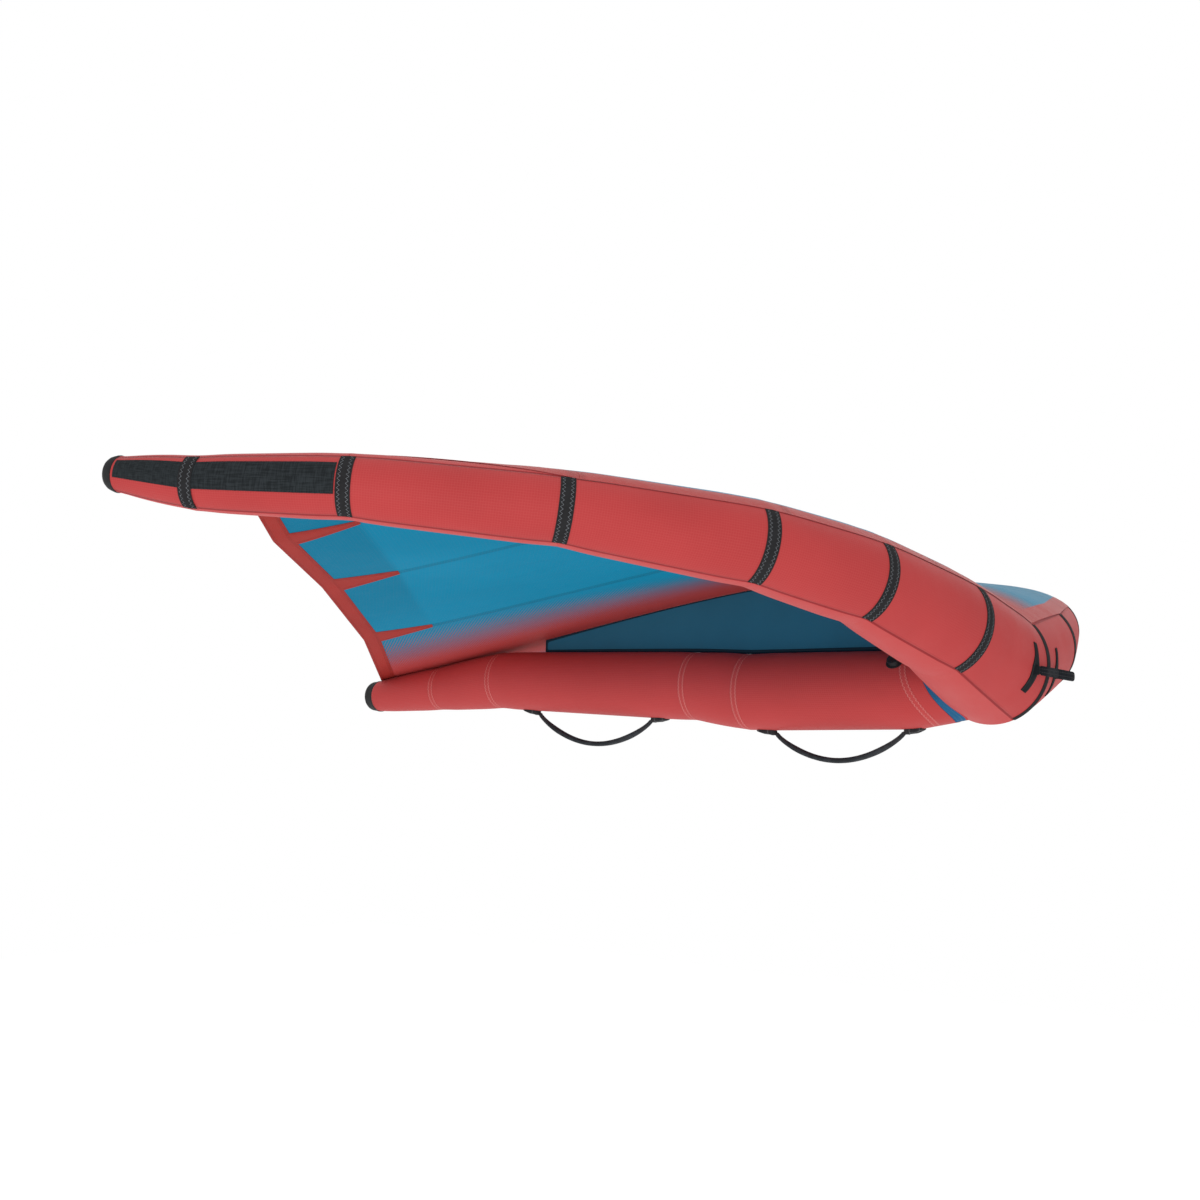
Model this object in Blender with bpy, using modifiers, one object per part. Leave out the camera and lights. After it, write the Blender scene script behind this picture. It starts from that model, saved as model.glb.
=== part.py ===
"""Wingfoil wing: an inflated leading edge and centre strut that carry a cloth canopy.

Frame: metres, +Z up, nose towards -Y, span along X. The wing's right side is -X.
The model is drawn about the centre of the nose tube, and the last step moves it so that
the origin lies under the middle of its bounding box.
"""
import math

import bmesh
import bpy
from mathutils import Vector

PART_NAME = "wingfoil_wing"

# Leading edge: seven sewn panels a side, from the nose to the tip
PANEL_LENGTHS = (0.297, 0.313, 0.278, 0.395, 0.405, 0.312, 0.176)
PANEL_SWEEPS_DEG = (1.3, 11.5, 24.9, 39.3, 52.2, 64.8, 70.7)
PANEL_RISES_DEG = (13.6, 12.8, 9.2, 5.8, 3.8, 1.4, 7.0)
SEAM_DIAMETERS = (0.278, 0.234, 0.192, 0.172, 0.144, 0.128, 0.108, 0.072)
TUBE_SIDES = 32
TUBE_CLOTH = 0.0015

# Clearances between pieces that are sewn or pressed together on the real wing
SEW_GAP = 0.0003
SEAT_GAP = 0.0012

# Seam tapes over the joints of the leading edge panels, in steps round the tube
TAPE_WIDTH = 0.032
TAPE_THICKNESS = 0.0012
TAPE_FIRST_STEP = -6
TAPE_LAST_STEP = 4

# Scuff patches on the two outer panels of each side
PATCH_THICKNESS = 0.001
PATCH_FIRST_STEP = -2
PATCH_LAST_STEP = 5

# Rounded caps that close the leading edge tips and the strut end
TIP_CAP_LENGTH = 0.030
TIP_CAP_SKIRT = 0.006
STRUT_CAP_LENGTH = 0.042
STRUT_CAP_SKIRT = 0.018
STRUT_CAP_DIAMETER = 0.091
CAP_ROUND_STEPS = 4
CAP_FLAT_SHARE = 0.45

# Centre strut: where each seam lies aft of the nose centre, its height and its diameter
STRUT_FRONT_AFT = 0.020
STRUT_FRONT_HEIGHT = -0.0405
STRUT_FRONT_DIAMETER = 0.161
STRUT_SEAM_AFTS = (0.180, 0.645, 0.810, 1.485, 1.720, 1.987)
STRUT_SEAM_HEIGHTS = (-0.0560, -0.0615, -0.0460, -0.0270, -0.0497, -0.0749)
STRUT_SEAM_DIAMETERS = (0.190, 0.199, 0.182, 0.164, 0.1316, 0.094)
COLLAR_WIDTH = 0.018

# Bladders inside the leading edge and the strut
BLADDER_SIDES = 16
BLADDER_WALL = 0.0006
BLADDER_CLEARANCE = 0.0006
BLADDER_END_SHARE = 0.35
STRUT_BLADDER_FRONT = 0.235
STRUT_BLADDER_INSET = 0.020

# Canopy: cloth thickness and the trailing edge at the root and at the three seams
CANOPY_CLOTH = 0.0010
CANOPY_START_STEP = 4.06
CANOPY_LEAVE_STEP = 5
EDGE_SPANS = (0.0, 0.420, 0.820, 1.150)
EDGE_AFTS = (1.985, 1.656, 1.414, 1.230)
EDGE_HEIGHTS = (-0.0265, 0.061, 0.153, 0.210)
EDGE_RISES_DEG = (8.9, 7.0, 4.6, 2.3)
NOSE_PULL_SHARES = (0.225, 0.180, 0.140, 0.160)
EDGE_PULL_SHARES = (0.50, 0.50, 0.45, 0.35)
TIP_STATION = 5.9
TIP_TURN_STEPS = 9
TIP_TAB_LENGTH = 0.030
TIP_RISE_DEG = 0.0
TIP_NOSE_PULL_SHARE = 0.35
TIP_EDGE_PULL_SHARE = 0.35
STATION_MARGIN = 0.12
CHORD_ROWS = 8
CHORD_BUNCHING = 1.8
CURVE_SAMPLES = 80

# Trailing edge band with its finger reinforcements
BAND_WIDTH = 0.060
BAND_LIP = 0.0009
FINGER_LENGTH = 0.200
FINGER_ROOT_WIDTH = 0.080
FINGER_TIP_WIDTH = 0.024
FINGER_THICKNESS = 0.0008
TIP_BAND_SHARE = 0.45

# Upright web between the strut and the canopy
WEB_THICKNESS = 0.0012
WEB_REAR = 1.333

# Strut handles: the pivot places aft of the nose centre and the drop of the grip
REAR_HANDLE_AFTS = (0.957, 1.345)
REAR_HANDLE_DROP = 0.076
FRONT_HANDLE_AFTS = (0.216, 0.569)
FRONT_HANDLE_DROP = 0.070
HANDLE_WIDTH = 0.024
HANDLE_THICKNESS = 0.011
HANDLE_END_DIAMETER = 0.011
HANDLE_STANDOFF = 0.0085
HANDLE_STATIONS = 16
GRIP_SIDES = 12
GRIP_SIDE_ROUNDING = 0.7
GRIP_FACE_ROUNDING = 0.85
GRIP_NECK_SHARE = 0.25
STRAP_SAG_ROUNDING = 0.75
ANCHOR_LENGTH = 0.050
ANCHOR_WIDTH = 0.034
ANCHOR_NOSE = 0.006
ANCHOR_HEM = 0.002
ANCHOR_SHOULDER_SHARE = 0.60
ANCHOR_NECK_SHARE = 0.70
ANCHOR_ROW_SHARES = (-1.0, -0.5, 0.0, 0.5, 1.0)
ANCHOR_ROUND_POWER = 4.0

# Nose handle: a padded grip between two Y patches on the front of the nose
NOSE_HANDLE_HALF_SPAN = 0.062
NOSE_HANDLE_REACH = 0.054
NOSE_HANDLE_DROOP_DEG = 7.0
NOSE_HANDLE_HEIGHT = 0.022
NOSE_HANDLE_THICKNESS = 0.010
NOSE_HANDLE_STANDOFF = 0.0085
NOSE_HANDLE_ANGLE_DEG = -12.4
NOSE_HANDLE_STATIONS = 16
NOSE_HANDLE_NECK_SHARE = 0.10
Y_PATCH_THICKNESS = 0.0016
Y_PATCH_WIDTH = 0.016
Y_STEPS = (-3.35, -3.0, -2.0, -1.0, 0.0, 1.1)
Y_CENTRES = (0.075, 0.073, 0.069, 0.068, 0.070, 0.074)
Y_BOSS_LENGTH = 0.012

# Inflation valve on the right side of the strut, close behind the leading edge
VALVE_AFT = 0.212
VALVE_ANGLE_DEG = 40.0
VALVE_FLANGE_DIAMETER = 0.042
VALVE_FLANGE_THICKNESS = 0.003
VALVE_NECK_DIAMETER = 0.028
VALVE_NECK_HEIGHT = 0.008
VALVE_BORE_DIAMETER = 0.018
VALVE_CAP_DIAMETER = 0.031
VALVE_CAP_THICKNESS = 0.004
VALVE_PIN_DIAMETER = 0.004
VALVE_SIDES = 24

# How far cutters run past what they cut
OVERRUN = 0.010

# Halvings of a search along the tube, and angles above which an edge stays sharp
SEARCH_STEPS = 50
SOFT_EDGE_DEG = 50.0
CLOTH_EDGE_DEG = 40.0
PLASTIC_EDGE_DEG = 30.0

RED = (0.55, 0.065, 0.065)
DARK_RED = (0.40, 0.05, 0.045)
BLACK = (0.020, 0.020, 0.022)
CHARCOAL = (0.035, 0.040, 0.045)
BLUE = (0.018, 0.22, 0.36)
DEEP_BLUE = (0.015, 0.06, 0.10)
CLEAR = (0.75, 0.75, 0.72)

STEP_DEG = 360.0 / TUBE_SIDES


def clear_scene():
    """Remove every object, mesh and curve that the file opened with."""
    for thing in list(bpy.data.objects):
        bpy.data.objects.remove(thing, do_unlink=True)
    for block in (bpy.data.meshes, bpy.data.curves, bpy.data.materials):
        for item in list(block):
            block.remove(item)


def new_collection(name):
    collection = bpy.data.collections.new(name)
    bpy.context.scene.collection.children.link(collection)
    return collection


def material(name, colour, roughness):
    """A Principled material, made once for each name."""
    found = bpy.data.materials.get(name)
    if found:
        return found
    made = bpy.data.materials.new(name)
    made.use_nodes = True
    shader = made.node_tree.nodes["Principled BSDF"]
    shader.inputs["Base Color"].default_value = (*colour, 1.0)
    shader.inputs["Roughness"].default_value = roughness
    made.diffuse_color = (*colour, 1.0)
    return made


def red_cloth():
    return material("red_dacron", RED, 0.55)


def black_cloth():
    return material("black_tape", BLACK, 0.75)


def add_object(name, bm, collection, look=None):
    """Turn a bmesh into a named object in the collection."""
    mesh = bpy.data.meshes.new(name)
    bm.to_mesh(mesh)
    bm.free()
    made = bpy.data.objects.new(name, mesh)
    collection.objects.link(made)
    if look:
        mesh.materials.append(look)
    return made


def solidify(thing, thickness, side):
    """Give an open sheet its thickness: side -1 grows inwards, 1 outwards."""
    modifier = thing.modifiers.new("cloth", "SOLIDIFY")
    modifier.thickness = thickness
    modifier.offset = side
    modifier.use_even_offset = False
    return thing


def cut(thing, cutter, operation="DIFFERENCE"):
    modifier = thing.modifiers.new("cut", "BOOLEAN")
    modifier.operation = operation
    modifier.solver = "EXACT"
    modifier.object = cutter
    return thing


def apply_modifiers(thing):
    """Replace the object's mesh by its evaluated shape."""
    graph = bpy.context.evaluated_depsgraph_get()
    shape = bpy.data.meshes.new_from_object(thing.evaluated_get(graph))
    thing.modifiers.clear()
    thing.data = shape
    return thing


def fold_square(bm, near, far, k, after):
    """Two triangles for a square of cloth; the fold starts in the row nearer to the tip.

    Every cloth is folded the same way, so that cloth lies flat on cloth.
    """
    if abs(near[k].co.x) > abs(far[k].co.x):
        bm.faces.new((near[k], far[k], far[after]))
        bm.faces.new((near[k], far[after], near[after]))
    else:
        bm.faces.new((near[k], far[k], near[after]))
        bm.faces.new((far[k], far[after], near[after]))


def sheet(rows):
    """An open sheet through rows of points."""
    bm = bmesh.new()
    verts = [[bm.verts.new(point) for point in row] for row in rows]
    for near, far in zip(verts, verts[1:]):
        for k in range(len(near) - 1):
            fold_square(bm, near, far, k, k + 1)
    return bm


def loft(rings, cap_start=True, cap_end=True):
    """A closed body through rings of equal count, with flat ends."""
    bm = bmesh.new()
    verts = [[bm.verts.new(point) for point in ring] for ring in rings]
    count = len(rings[0])
    for near, far in zip(verts, verts[1:]):
        for k in range(count):
            after = (k + 1) % count
            bm.faces.new((near[k], far[k], far[after], near[after]))
    if cap_start:
        bm.faces.new(verts[0])
    if cap_end:
        bm.faces.new(list(reversed(verts[-1])))
    bmesh.ops.recalc_face_normals(bm, faces=bm.faces)
    return bm


def smooth(thing, angle_deg=CLOTH_EDGE_DEG):
    """Smooth shading that keeps edges sharper than the angle."""
    thing.data.shade_smooth()
    thing.data.set_sharp_from_angle(angle=math.radians(angle_deg))
    return thing


class Seam:
    """One seam plane across the leading edge tube."""

    def __init__(self, centre, along, radius):
        self.centre = centre
        self.along = along.normalized()
        self.up = (Vector((0, 0, 1)) - self.along.z * self.along).normalized()
        self.front = self.along.cross(self.up).normalized()
        self.radius = radius

    def corner(self, step, outward):
        """Corner of the faceted ring, counted up from the front."""
        angle = math.radians(step * STEP_DEG)
        spoke = math.cos(angle) * self.front + math.sin(angle) * self.up
        return self.centre + (self.radius + outward) * spoke

    def point(self, step, outward):
        """Point on the faceted ring, also between two corners."""
        low = math.floor(step)
        return self.corner(low, outward).lerp(self.corner(low + 1, outward), step - low)


def panel_run(index):
    """The panel's centre line, from its inner seam to its outer one."""
    sweep = math.radians(PANEL_SWEEPS_DEG[index])
    rise = math.radians(PANEL_RISES_DEG[index])
    way = Vector((math.cos(sweep) * math.cos(rise), math.sin(sweep) * math.cos(rise), math.sin(rise)))
    return PANEL_LENGTHS[index] * way


def make_seams():
    """Seam planes from the nose to the tip of the +X side."""
    runs = [panel_run(k) for k in range(len(PANEL_LENGTHS))]
    centre = Vector((0, 0, 0))
    seams = [Seam(centre, Vector((1, 0, 0)), SEAM_DIAMETERS[0] / 2)]
    for k, run in enumerate(runs):
        centre = centre + run
        along = run.normalized()
        if k + 1 < len(runs):
            along = along + runs[k + 1].normalized()
        seams.append(Seam(centre, along, SEAM_DIAMETERS[k + 1] / 2))
    return seams


SEAMS = make_seams()
LAST_PANEL = len(PANEL_LENGTHS) - 1


def edge_point(station, step, outward):
    """Point on the leading edge: station counts seams, and is negative on the -X side."""
    index = min(int(abs(station)), LAST_PANEL)
    share = abs(station) - index
    point = SEAMS[index].point(step, outward).lerp(SEAMS[index + 1].point(step, outward), share)
    if station < 0:
        point.x = -point.x
    return point


def side_name(side):
    return "left" if side > 0 else "right"


def ring_shell(outer_rings, inner_rings):
    """A closed tube wall between matching outer and inner rings."""
    bm = bmesh.new()
    outer = [[bm.verts.new(point) for point in ring] for ring in outer_rings]
    inner = [[bm.verts.new(point) for point in ring] for ring in inner_rings]
    count = len(outer[0])
    for skin in (outer, inner):
        for near, far in zip(skin, skin[1:]):
            for k in range(count):
                fold_square(bm, near, far, k, (k + 1) % count)
    for end in (0, -1):
        for k in range(count):
            after = (k + 1) % count
            bm.faces.new((outer[end][k], outer[end][after], inner[end][after], inner[end][k]))
    bmesh.ops.recalc_face_normals(bm, faces=bm.faces)
    return bm


def tube_rows(stations, outward, sides=TUBE_SIDES):
    jump = TUBE_SIDES // sides
    return [[edge_point(s, k * jump, outward) for k in range(sides)] for s in stations]


def leading_edge_panels(parts):
    """Open cloth tubes between the seams, with the sewing gap at each seam."""
    for side in (-1, 1):
        for k in range(len(PANEL_LENGTHS)):
            inset = SEW_GAP / 2 / PANEL_LENGTHS[k]
            ends = (side * (k + inset), side * (k + 1 - inset))
            body = ring_shell(tube_rows(sorted(ends), 0.0), tube_rows(sorted(ends), -TUBE_CLOTH))
            smooth(add_object(f"le_panel_{side_name(side)}_{k + 1}", body, parts, red_cloth()))


def seam_tape(name, stations, lift, parts):
    """A strip of tape that follows the facets of the tube."""
    steps = range(TAPE_FIRST_STEP, TAPE_LAST_STEP + 1)
    under = [[edge_point(s, step, lift) for step in steps] for s in stations]
    over = [[edge_point(s, step, lift + TAPE_THICKNESS) for step in steps] for s in stations]
    smooth(add_object(name, slab(under, over), parts, black_cloth()))


def seam_tapes(parts):
    """A strip over the front of every seam; those by the scuff patches lie on top of them."""
    half = TAPE_WIDTH / 2
    reach = half / PANEL_LENGTHS[0]
    seam_tape("le_seam_tape_centre", (-reach, 0.0, reach), SEW_GAP, parts)
    for side in (-1, 1):
        for k in range(1, len(PANEL_LENGTHS)):
            inner = k - half / PANEL_LENGTHS[k - 1]
            outer = k + half / PANEL_LENGTHS[k]
            stations = sorted((side * inner, side * k, side * outer))
            lift = SEW_GAP
            if k == LAST_PANEL:
                lift = SEW_GAP + PATCH_THICKNESS + SEW_GAP
            seam_tape(f"le_seam_tape_{side_name(side)}_{k}", stations, lift, parts)


def scuff_patches(parts):
    """Heavy cloth over the front of the two outer panels, from the tape to the tip."""
    look = material("scuff_cloth", CHARCOAL, 0.85)
    for side in (-1, 1):
        start = LAST_PANEL - 1 + (TAPE_WIDTH / 2 + SEW_GAP) / PANEL_LENGTHS[LAST_PANEL - 1]
        end = LAST_PANEL + 1 - TIP_CAP_SKIRT / PANEL_LENGTHS[LAST_PANEL]
        stations = sorted(side * s for s in (start, LAST_PANEL, end))
        steps = range(PATCH_FIRST_STEP, PATCH_LAST_STEP + 1)
        under = [[edge_point(s, step, SEW_GAP) for step in steps] for s in stations]
        over = [[edge_point(s, step, SEW_GAP + PATCH_THICKNESS) for step in steps] for s in stations]
        smooth(add_object(f"scuff_patch_{side_name(side)}", slab(under, over), parts, look))


def dome_rings(centre, along, spokes, radius, length):
    """Rings of a rounded end: a quarter ellipse swept round the axis."""
    rings = []
    for k in range(CAP_ROUND_STEPS):
        turn = math.radians(90.0 * k / CAP_ROUND_STEPS)
        middle = centre + along * length * math.sin(turn)
        rings.append([middle + radius * math.cos(turn) * spoke for spoke in spokes])
    flat = math.radians(90.0 * (CAP_ROUND_STEPS - CAP_FLAT_SHARE) / CAP_ROUND_STEPS)
    middle = centre + along * length
    rings.append([middle + radius * math.cos(flat) * spoke for spoke in spokes])
    return rings


def mirrored(point, side):
    return Vector((side * point.x, point.y, point.z))


def tip_caps(parts):
    """Moulded domes that close the ends of the leading edge."""
    seam = SEAMS[-1]
    run = panel_run(LAST_PANEL).normalized()
    look = material("black_rubber", BLACK, 0.6)
    for side in (-1, 1):
        spokes = []
        for k in range(TUBE_SIDES // 2):
            angle = math.radians(2 * k * STEP_DEG)
            spokes.append(math.cos(angle) * seam.front + math.sin(angle) * seam.up)
        rings = dome_rings(seam.centre + run * SEW_GAP, run, spokes, seam.radius, TIP_CAP_LENGTH)
        rings = [[mirrored(point, side) for point in ring] for ring in rings]
        smooth(add_object(f"tip_cap_{side_name(side)}", loft(rings), parts, look))


def hollow_shell(outer_rings, inner_rings, opening):
    """A closed thin shell with one opening, at ring and corner numbers."""
    bm = bmesh.new()
    count = len(outer_rings[0])
    skins = []
    for rings in (outer_rings, inner_rings):
        verts = [[bm.verts.new(point) for point in ring] for ring in rings]
        skins.append(verts)
        for r in range(len(verts) - 1):
            for k in range(count):
                if (r, k) != opening:
                    fold_square(bm, verts[r], verts[r + 1], k, (k + 1) % count)
        bm.faces.new(verts[0])
        bm.faces.new(verts[-1])
    outer, inner = skins
    r, k = opening
    after = (k + 1) % count
    corners = ((r, k), (r + 1, k), (r + 1, after), (r, after))
    for (r0, k0), (r1, k1) in zip(corners, corners[1:] + corners[:1]):
        bm.faces.new((outer[r0][k0], outer[r1][k1], inner[r1][k1], inner[r0][k0]))
    bmesh.ops.recalc_face_normals(bm, faces=bm.faces)
    return bm


def drawn_in(ring, shift):
    """An end ring pulled towards its middle and moved, for a rounded end."""
    middle = sum(ring, Vector()) / len(ring)
    return [point.lerp(middle, BLADDER_END_SHARE) + shift for point in ring]


def bladder(name, skins, opening, parts):
    look = material("bladder_film", CLEAR, 0.25)
    smooth(add_object(name, hollow_shell(skins[0], skins[1], opening), parts, look))


def leading_edge_bladder(parts):
    """One airtight tube from tip to tip, open where the valve hose joins it."""
    reach = LAST_PANEL + 1 - BLADDER_CLEARANCE / PANEL_LENGTHS[LAST_PANEL]
    shoulder = LAST_PANEL + 1 - SEAM_DIAMETERS[-1] / 2 / PANEL_LENGTHS[LAST_PANEL]
    throat = TAPE_WIDTH / PANEL_LENGTHS[0]
    half = [throat] + list(range(1, LAST_PANEL + 1)) + [shoulder, reach]
    stations = [-s for s in reversed(half)] + [0.0] + half
    run = panel_run(LAST_PANEL).normalized()
    skins = []
    for wall in (0.0, BLADDER_WALL):
        rings = tube_rows(stations, -BLADDER_CLEARANCE - TUBE_CLOTH - wall, BLADDER_SIDES)
        for end, side in ((0, -1), (-1, 1)):
            rings[end] = drawn_in(rings[end], -wall * mirrored(run, side))
        skins.append(rings)
    bladder("le_bladder", skins, (len(stations) // 2, BLADDER_SIDES // 2), parts)


def strut_stations():
    """Places, heights and radii of the strut's front end and its seams."""
    afts = (STRUT_FRONT_AFT,) + STRUT_SEAM_AFTS
    heights = (STRUT_FRONT_HEIGHT,) + STRUT_SEAM_HEIGHTS
    radii = (STRUT_FRONT_DIAMETER / 2,) + tuple(d / 2 for d in STRUT_SEAM_DIAMETERS)
    return afts, heights, radii


def interpolate(at, places, values):
    """Straight-line reading of a table."""
    for k in range(len(places) - 1):
        if at <= places[k + 1] or k == len(places) - 2:
            share = (at - places[k]) / (places[k + 1] - places[k])
            return values[k] + share * (values[k + 1] - values[k])


def strut_axis(aft):
    """Height of the strut's centre line and its radius at a place behind the nose."""
    afts, heights, radii = strut_stations()
    return interpolate(aft, afts, heights), interpolate(aft, afts, radii)


def strut_top(aft):
    height, radius = strut_axis(aft)
    return height + radius


def strut_bottom(aft):
    height, radius = strut_axis(aft)
    return height - radius


def strut_ring(aft, inward=0.0, sides=TUBE_SIDES):
    height, radius = strut_axis(aft)
    ring = []
    for k in range(sides):
        angle = math.radians(360.0 * k / sides)
        reach = radius - inward
        ring.append(Vector((reach * math.cos(angle), aft, height + reach * math.sin(angle))))
    return ring


def leading_edge_envelope(name, outward, cutters):
    """Solid of the middle of the leading edge, grown outwards, for cutting saddles."""
    rows = tube_rows((-1.0, 0.0, 1.0), outward)
    cutter = add_object(name, loft(rows), cutters)
    cutter.hide_render = True
    cutter.display_type = "WIRE"
    return cutter


def strut_skin(name, afts, parts, look):
    """One open cloth tube of the strut."""
    outer = [strut_ring(aft) for aft in afts]
    inner = [strut_ring(aft, TUBE_CLOTH) for aft in afts]
    return add_object(name, ring_shell(outer, inner), parts, look)


def strut_panels(parts, cutters):
    """Five cloth tubes, the first one sewn to a collar that saddles the leading edge."""
    half = SEW_GAP / 2
    saddle = leading_edge_envelope("saddle_cutter", SEAT_GAP, cutters)
    collar_edge = leading_edge_envelope("collar_cutter", COLLAR_WIDTH, cutters)
    collar_limit = leading_edge_envelope("collar_limit", COLLAR_WIDTH - SEW_GAP, cutters)
    front = (STRUT_FRONT_AFT, STRUT_SEAM_AFTS[0], STRUT_SEAM_AFTS[1] - half)
    first = strut_skin("strut_panel_1", front, parts, red_cloth())
    cut(first, collar_edge)
    smooth(apply_modifiers(first))
    collar = strut_skin("strut_collar", front, parts, material("blue_cuff", BLUE, 0.6))
    cut(collar, saddle)
    cut(collar, collar_limit, "INTERSECT")
    smooth(apply_modifiers(collar))
    for k in range(1, len(STRUT_SEAM_AFTS) - 1):
        afts = (STRUT_SEAM_AFTS[k] + half, STRUT_SEAM_AFTS[k + 1] - half)
        smooth(strut_skin(f"strut_panel_{k + 1}", afts, parts, red_cloth()))


def strut_end_cap(parts):
    """A skirt as wide as the strut, then a dome with a small flat."""
    aft = STRUT_SEAM_AFTS[-1]
    height, radius = strut_axis(aft)
    spokes = []
    for k in range(TUBE_SIDES):
        angle = math.radians(k * STEP_DEG)
        spokes.append(Vector((math.cos(angle), 0, math.sin(angle))))
    centre = Vector((0, aft + SEW_GAP / 2, height))
    dome = centre + Vector((0, STRUT_CAP_SKIRT, 0))
    rings = [[centre + radius * spoke for spoke in spokes]]
    rings += dome_rings(dome, Vector((0, 1, 0)), spokes, STRUT_CAP_DIAMETER / 2, STRUT_CAP_LENGTH - STRUT_CAP_SKIRT)
    look = material("black_rubber", BLACK, 0.6)
    smooth(add_object("strut_end_cap", loft(rings), parts, look))


def strut_bladder(parts):
    """Airtight tube inside the strut, open under the valve."""
    rear = STRUT_SEAM_AFTS[-1] - STRUT_BLADDER_INSET
    shoulder = rear - STRUT_SEAM_DIAMETERS[-1] / 2
    afts = [STRUT_BLADDER_FRONT, STRUT_BLADDER_FRONT + STRUT_SEAM_DIAMETERS[0] / 2]
    afts += list(STRUT_SEAM_AFTS[1:-1]) + [shoulder, rear]
    skins = []
    for wall in (0.0, BLADDER_WALL):
        depth = BLADDER_CLEARANCE + TUBE_CLOTH + wall
        rings = [strut_ring(aft, depth, BLADDER_SIDES) for aft in afts]
        rings[0] = drawn_in(rings[0], Vector((0, wall, 0)))
        rings[-1] = drawn_in(rings[-1], Vector((0, -wall, 0)))
        skins.append(rings)
    bladder("strut_bladder", skins, (0, BLADDER_SIDES // 2 - 2), parts)


def curve_point(points, share):
    """Cubic Bezier through four control points."""
    rest = 1.0 - share
    a, b, c, d = points
    return rest ** 3 * a + 3 * rest ** 2 * share * b + 3 * rest * share ** 2 * c + share ** 3 * d


def canopy_edge(station):
    """Trailing edge point and the three shape values of the chord at a station."""
    reach = abs(station)
    last = EDGE_SPANS[-1]
    span = abs(edge_point(reach, CANOPY_LEAVE_STEP, 0.0).x)
    tables = (EDGE_AFTS, EDGE_HEIGHTS, EDGE_RISES_DEG, NOSE_PULL_SHARES, EDGE_PULL_SHARES)
    if span <= last:
        values = [interpolate(span, EDGE_SPANS, table) for table in tables]
        point = Vector((span, values[0], values[1]))
        shape = values[2:]
    else:
        seam_station = SEAM_STATIONS[-1]
        share = (reach - seam_station) / (TIP_STATION - seam_station)
        tip = edge_point(TIP_STATION, CANOPY_LEAVE_STEP + TIP_TURN_STEPS, SEAT_GAP + TIP_TAB_LENGTH)
        point = Vector((last, EDGE_AFTS[-1], EDGE_HEIGHTS[-1])).lerp(tip, share)
        ends = (TIP_RISE_DEG, TIP_NOSE_PULL_SHARE, TIP_EDGE_PULL_SHARE)
        shape = [table[-1] + share * (end - table[-1]) for table, end in zip(tables[2:], ends)]
    return point, shape


def station_at_span(span):
    """Station where the canopy leaves the leading edge at this distance from the centre."""
    low, high = 0.0, float(LAST_PANEL)
    for _ in range(SEARCH_STEPS):
        middle = (low + high) / 2
        if edge_point(middle, CANOPY_LEAVE_STEP, 0.0).x < span:
            low = middle
        else:
            high = middle
    return low


SEAM_STATIONS = [station_at_span(span) for span in EDGE_SPANS]


def turn_steps(station):
    """How far the canopy's seam has turned back round the tube towards the tip."""
    past = abs(station) - SEAM_STATIONS[-1]
    return TIP_TURN_STEPS * max(0.0, past / (TIP_STATION - SEAM_STATIONS[-1]))


def chord_line(station):
    """Points and running lengths along one chord of the canopy's under side."""
    reach = abs(station)
    step = CANOPY_LEAVE_STEP + turn_steps(station)
    start = edge_point(reach, step, SEAT_GAP)
    before = edge_point(reach, step - 1, SEAT_GAP)
    after = edge_point(reach, step + 1, SEAT_GAP)
    end, (rise, nose_pull, edge_pull) = canopy_edge(reach)
    chord = (end - start).length
    leave = (after - before).normalized()
    flat = Vector((start.x - end.x, start.y - end.y, 0)).normalized()
    back = flat * math.cos(math.radians(rise)) + Vector((0, 0, math.sin(math.radians(rise))))
    controls = (start, start + nose_pull * chord * leave, end + edge_pull * chord * back, end)
    points = [curve_point(controls, k / CURVE_SAMPLES) for k in range(CURVE_SAMPLES + 1)]
    if reach == 0:
        for point in points:
            if point.y > STRUT_SEAM_AFTS[3]:
                point.z = max(point.z, strut_top(point.y) + BAND_LIP + SEAT_GAP)
    lengths = [0.0]
    for near, far in zip(points, points[1:]):
        lengths.append(lengths[-1] + (far - near).length)
    return points, lengths


def point_along(points, lengths, at):
    for k in range(len(lengths) - 1):
        if at <= lengths[k + 1]:
            share = (at - lengths[k]) / (lengths[k + 1] - lengths[k])
            return points[k].lerp(points[k + 1], share)
    return points[-1].copy()


def band_width(total):
    return min(BAND_WIDTH, TIP_BAND_SHARE * total)


def canopy_chord(station):
    """Under side of the canopy: rows from the tube to the band, then the band's two rows."""
    points, lengths = chord_line(station)
    total = lengths[-1]
    band = band_width(total)
    finger = min(FINGER_LENGTH, (1 - TIP_BAND_SHARE) * (total - band))
    rows = [edge_point(abs(station), CANOPY_START_STEP + turn_steps(station), SEAT_GAP)]
    free = total - band - finger
    for k in range(CHORD_ROWS + 1):
        share = k / CHORD_ROWS
        rows.append(point_along(points, lengths, free * share ** CHORD_BUNCHING))
    rows.append(point_along(points, lengths, total - band - finger / 2))
    rows.append(point_along(points, lengths, total - band))
    rows.append(point_along(points, lengths, total))
    return [mirrored(point, -1 if station < 0 else 1) for point in rows]


def shifted(chord, distance):
    return [point + Vector((distance, 0, 0)) for point in chord]


def cloth_between(name, stations, parts, trim_start, trim_end):
    """One canopy panel from the leading edge to the band, with the sewing gap at its sides."""
    chords = [canopy_chord(s)[:-1] for s in stations]
    gap = SEW_GAP / 2
    if trim_start:
        chords[0] = shifted(chords[0], gap)
    if trim_end:
        chords[-1] = shifted(chords[-1], -gap)
    for chord in chords:
        chord[-1] = chord[-1].lerp(chord[-2], SEW_GAP / (chord[-1] - chord[-2]).length)
    look = material("blue_ripstop", BLUE, 0.45)
    panel = add_object(name, sheet(chords), parts, look)
    solidify(panel, CANOPY_CLOTH, 1)
    smooth(panel)


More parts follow.
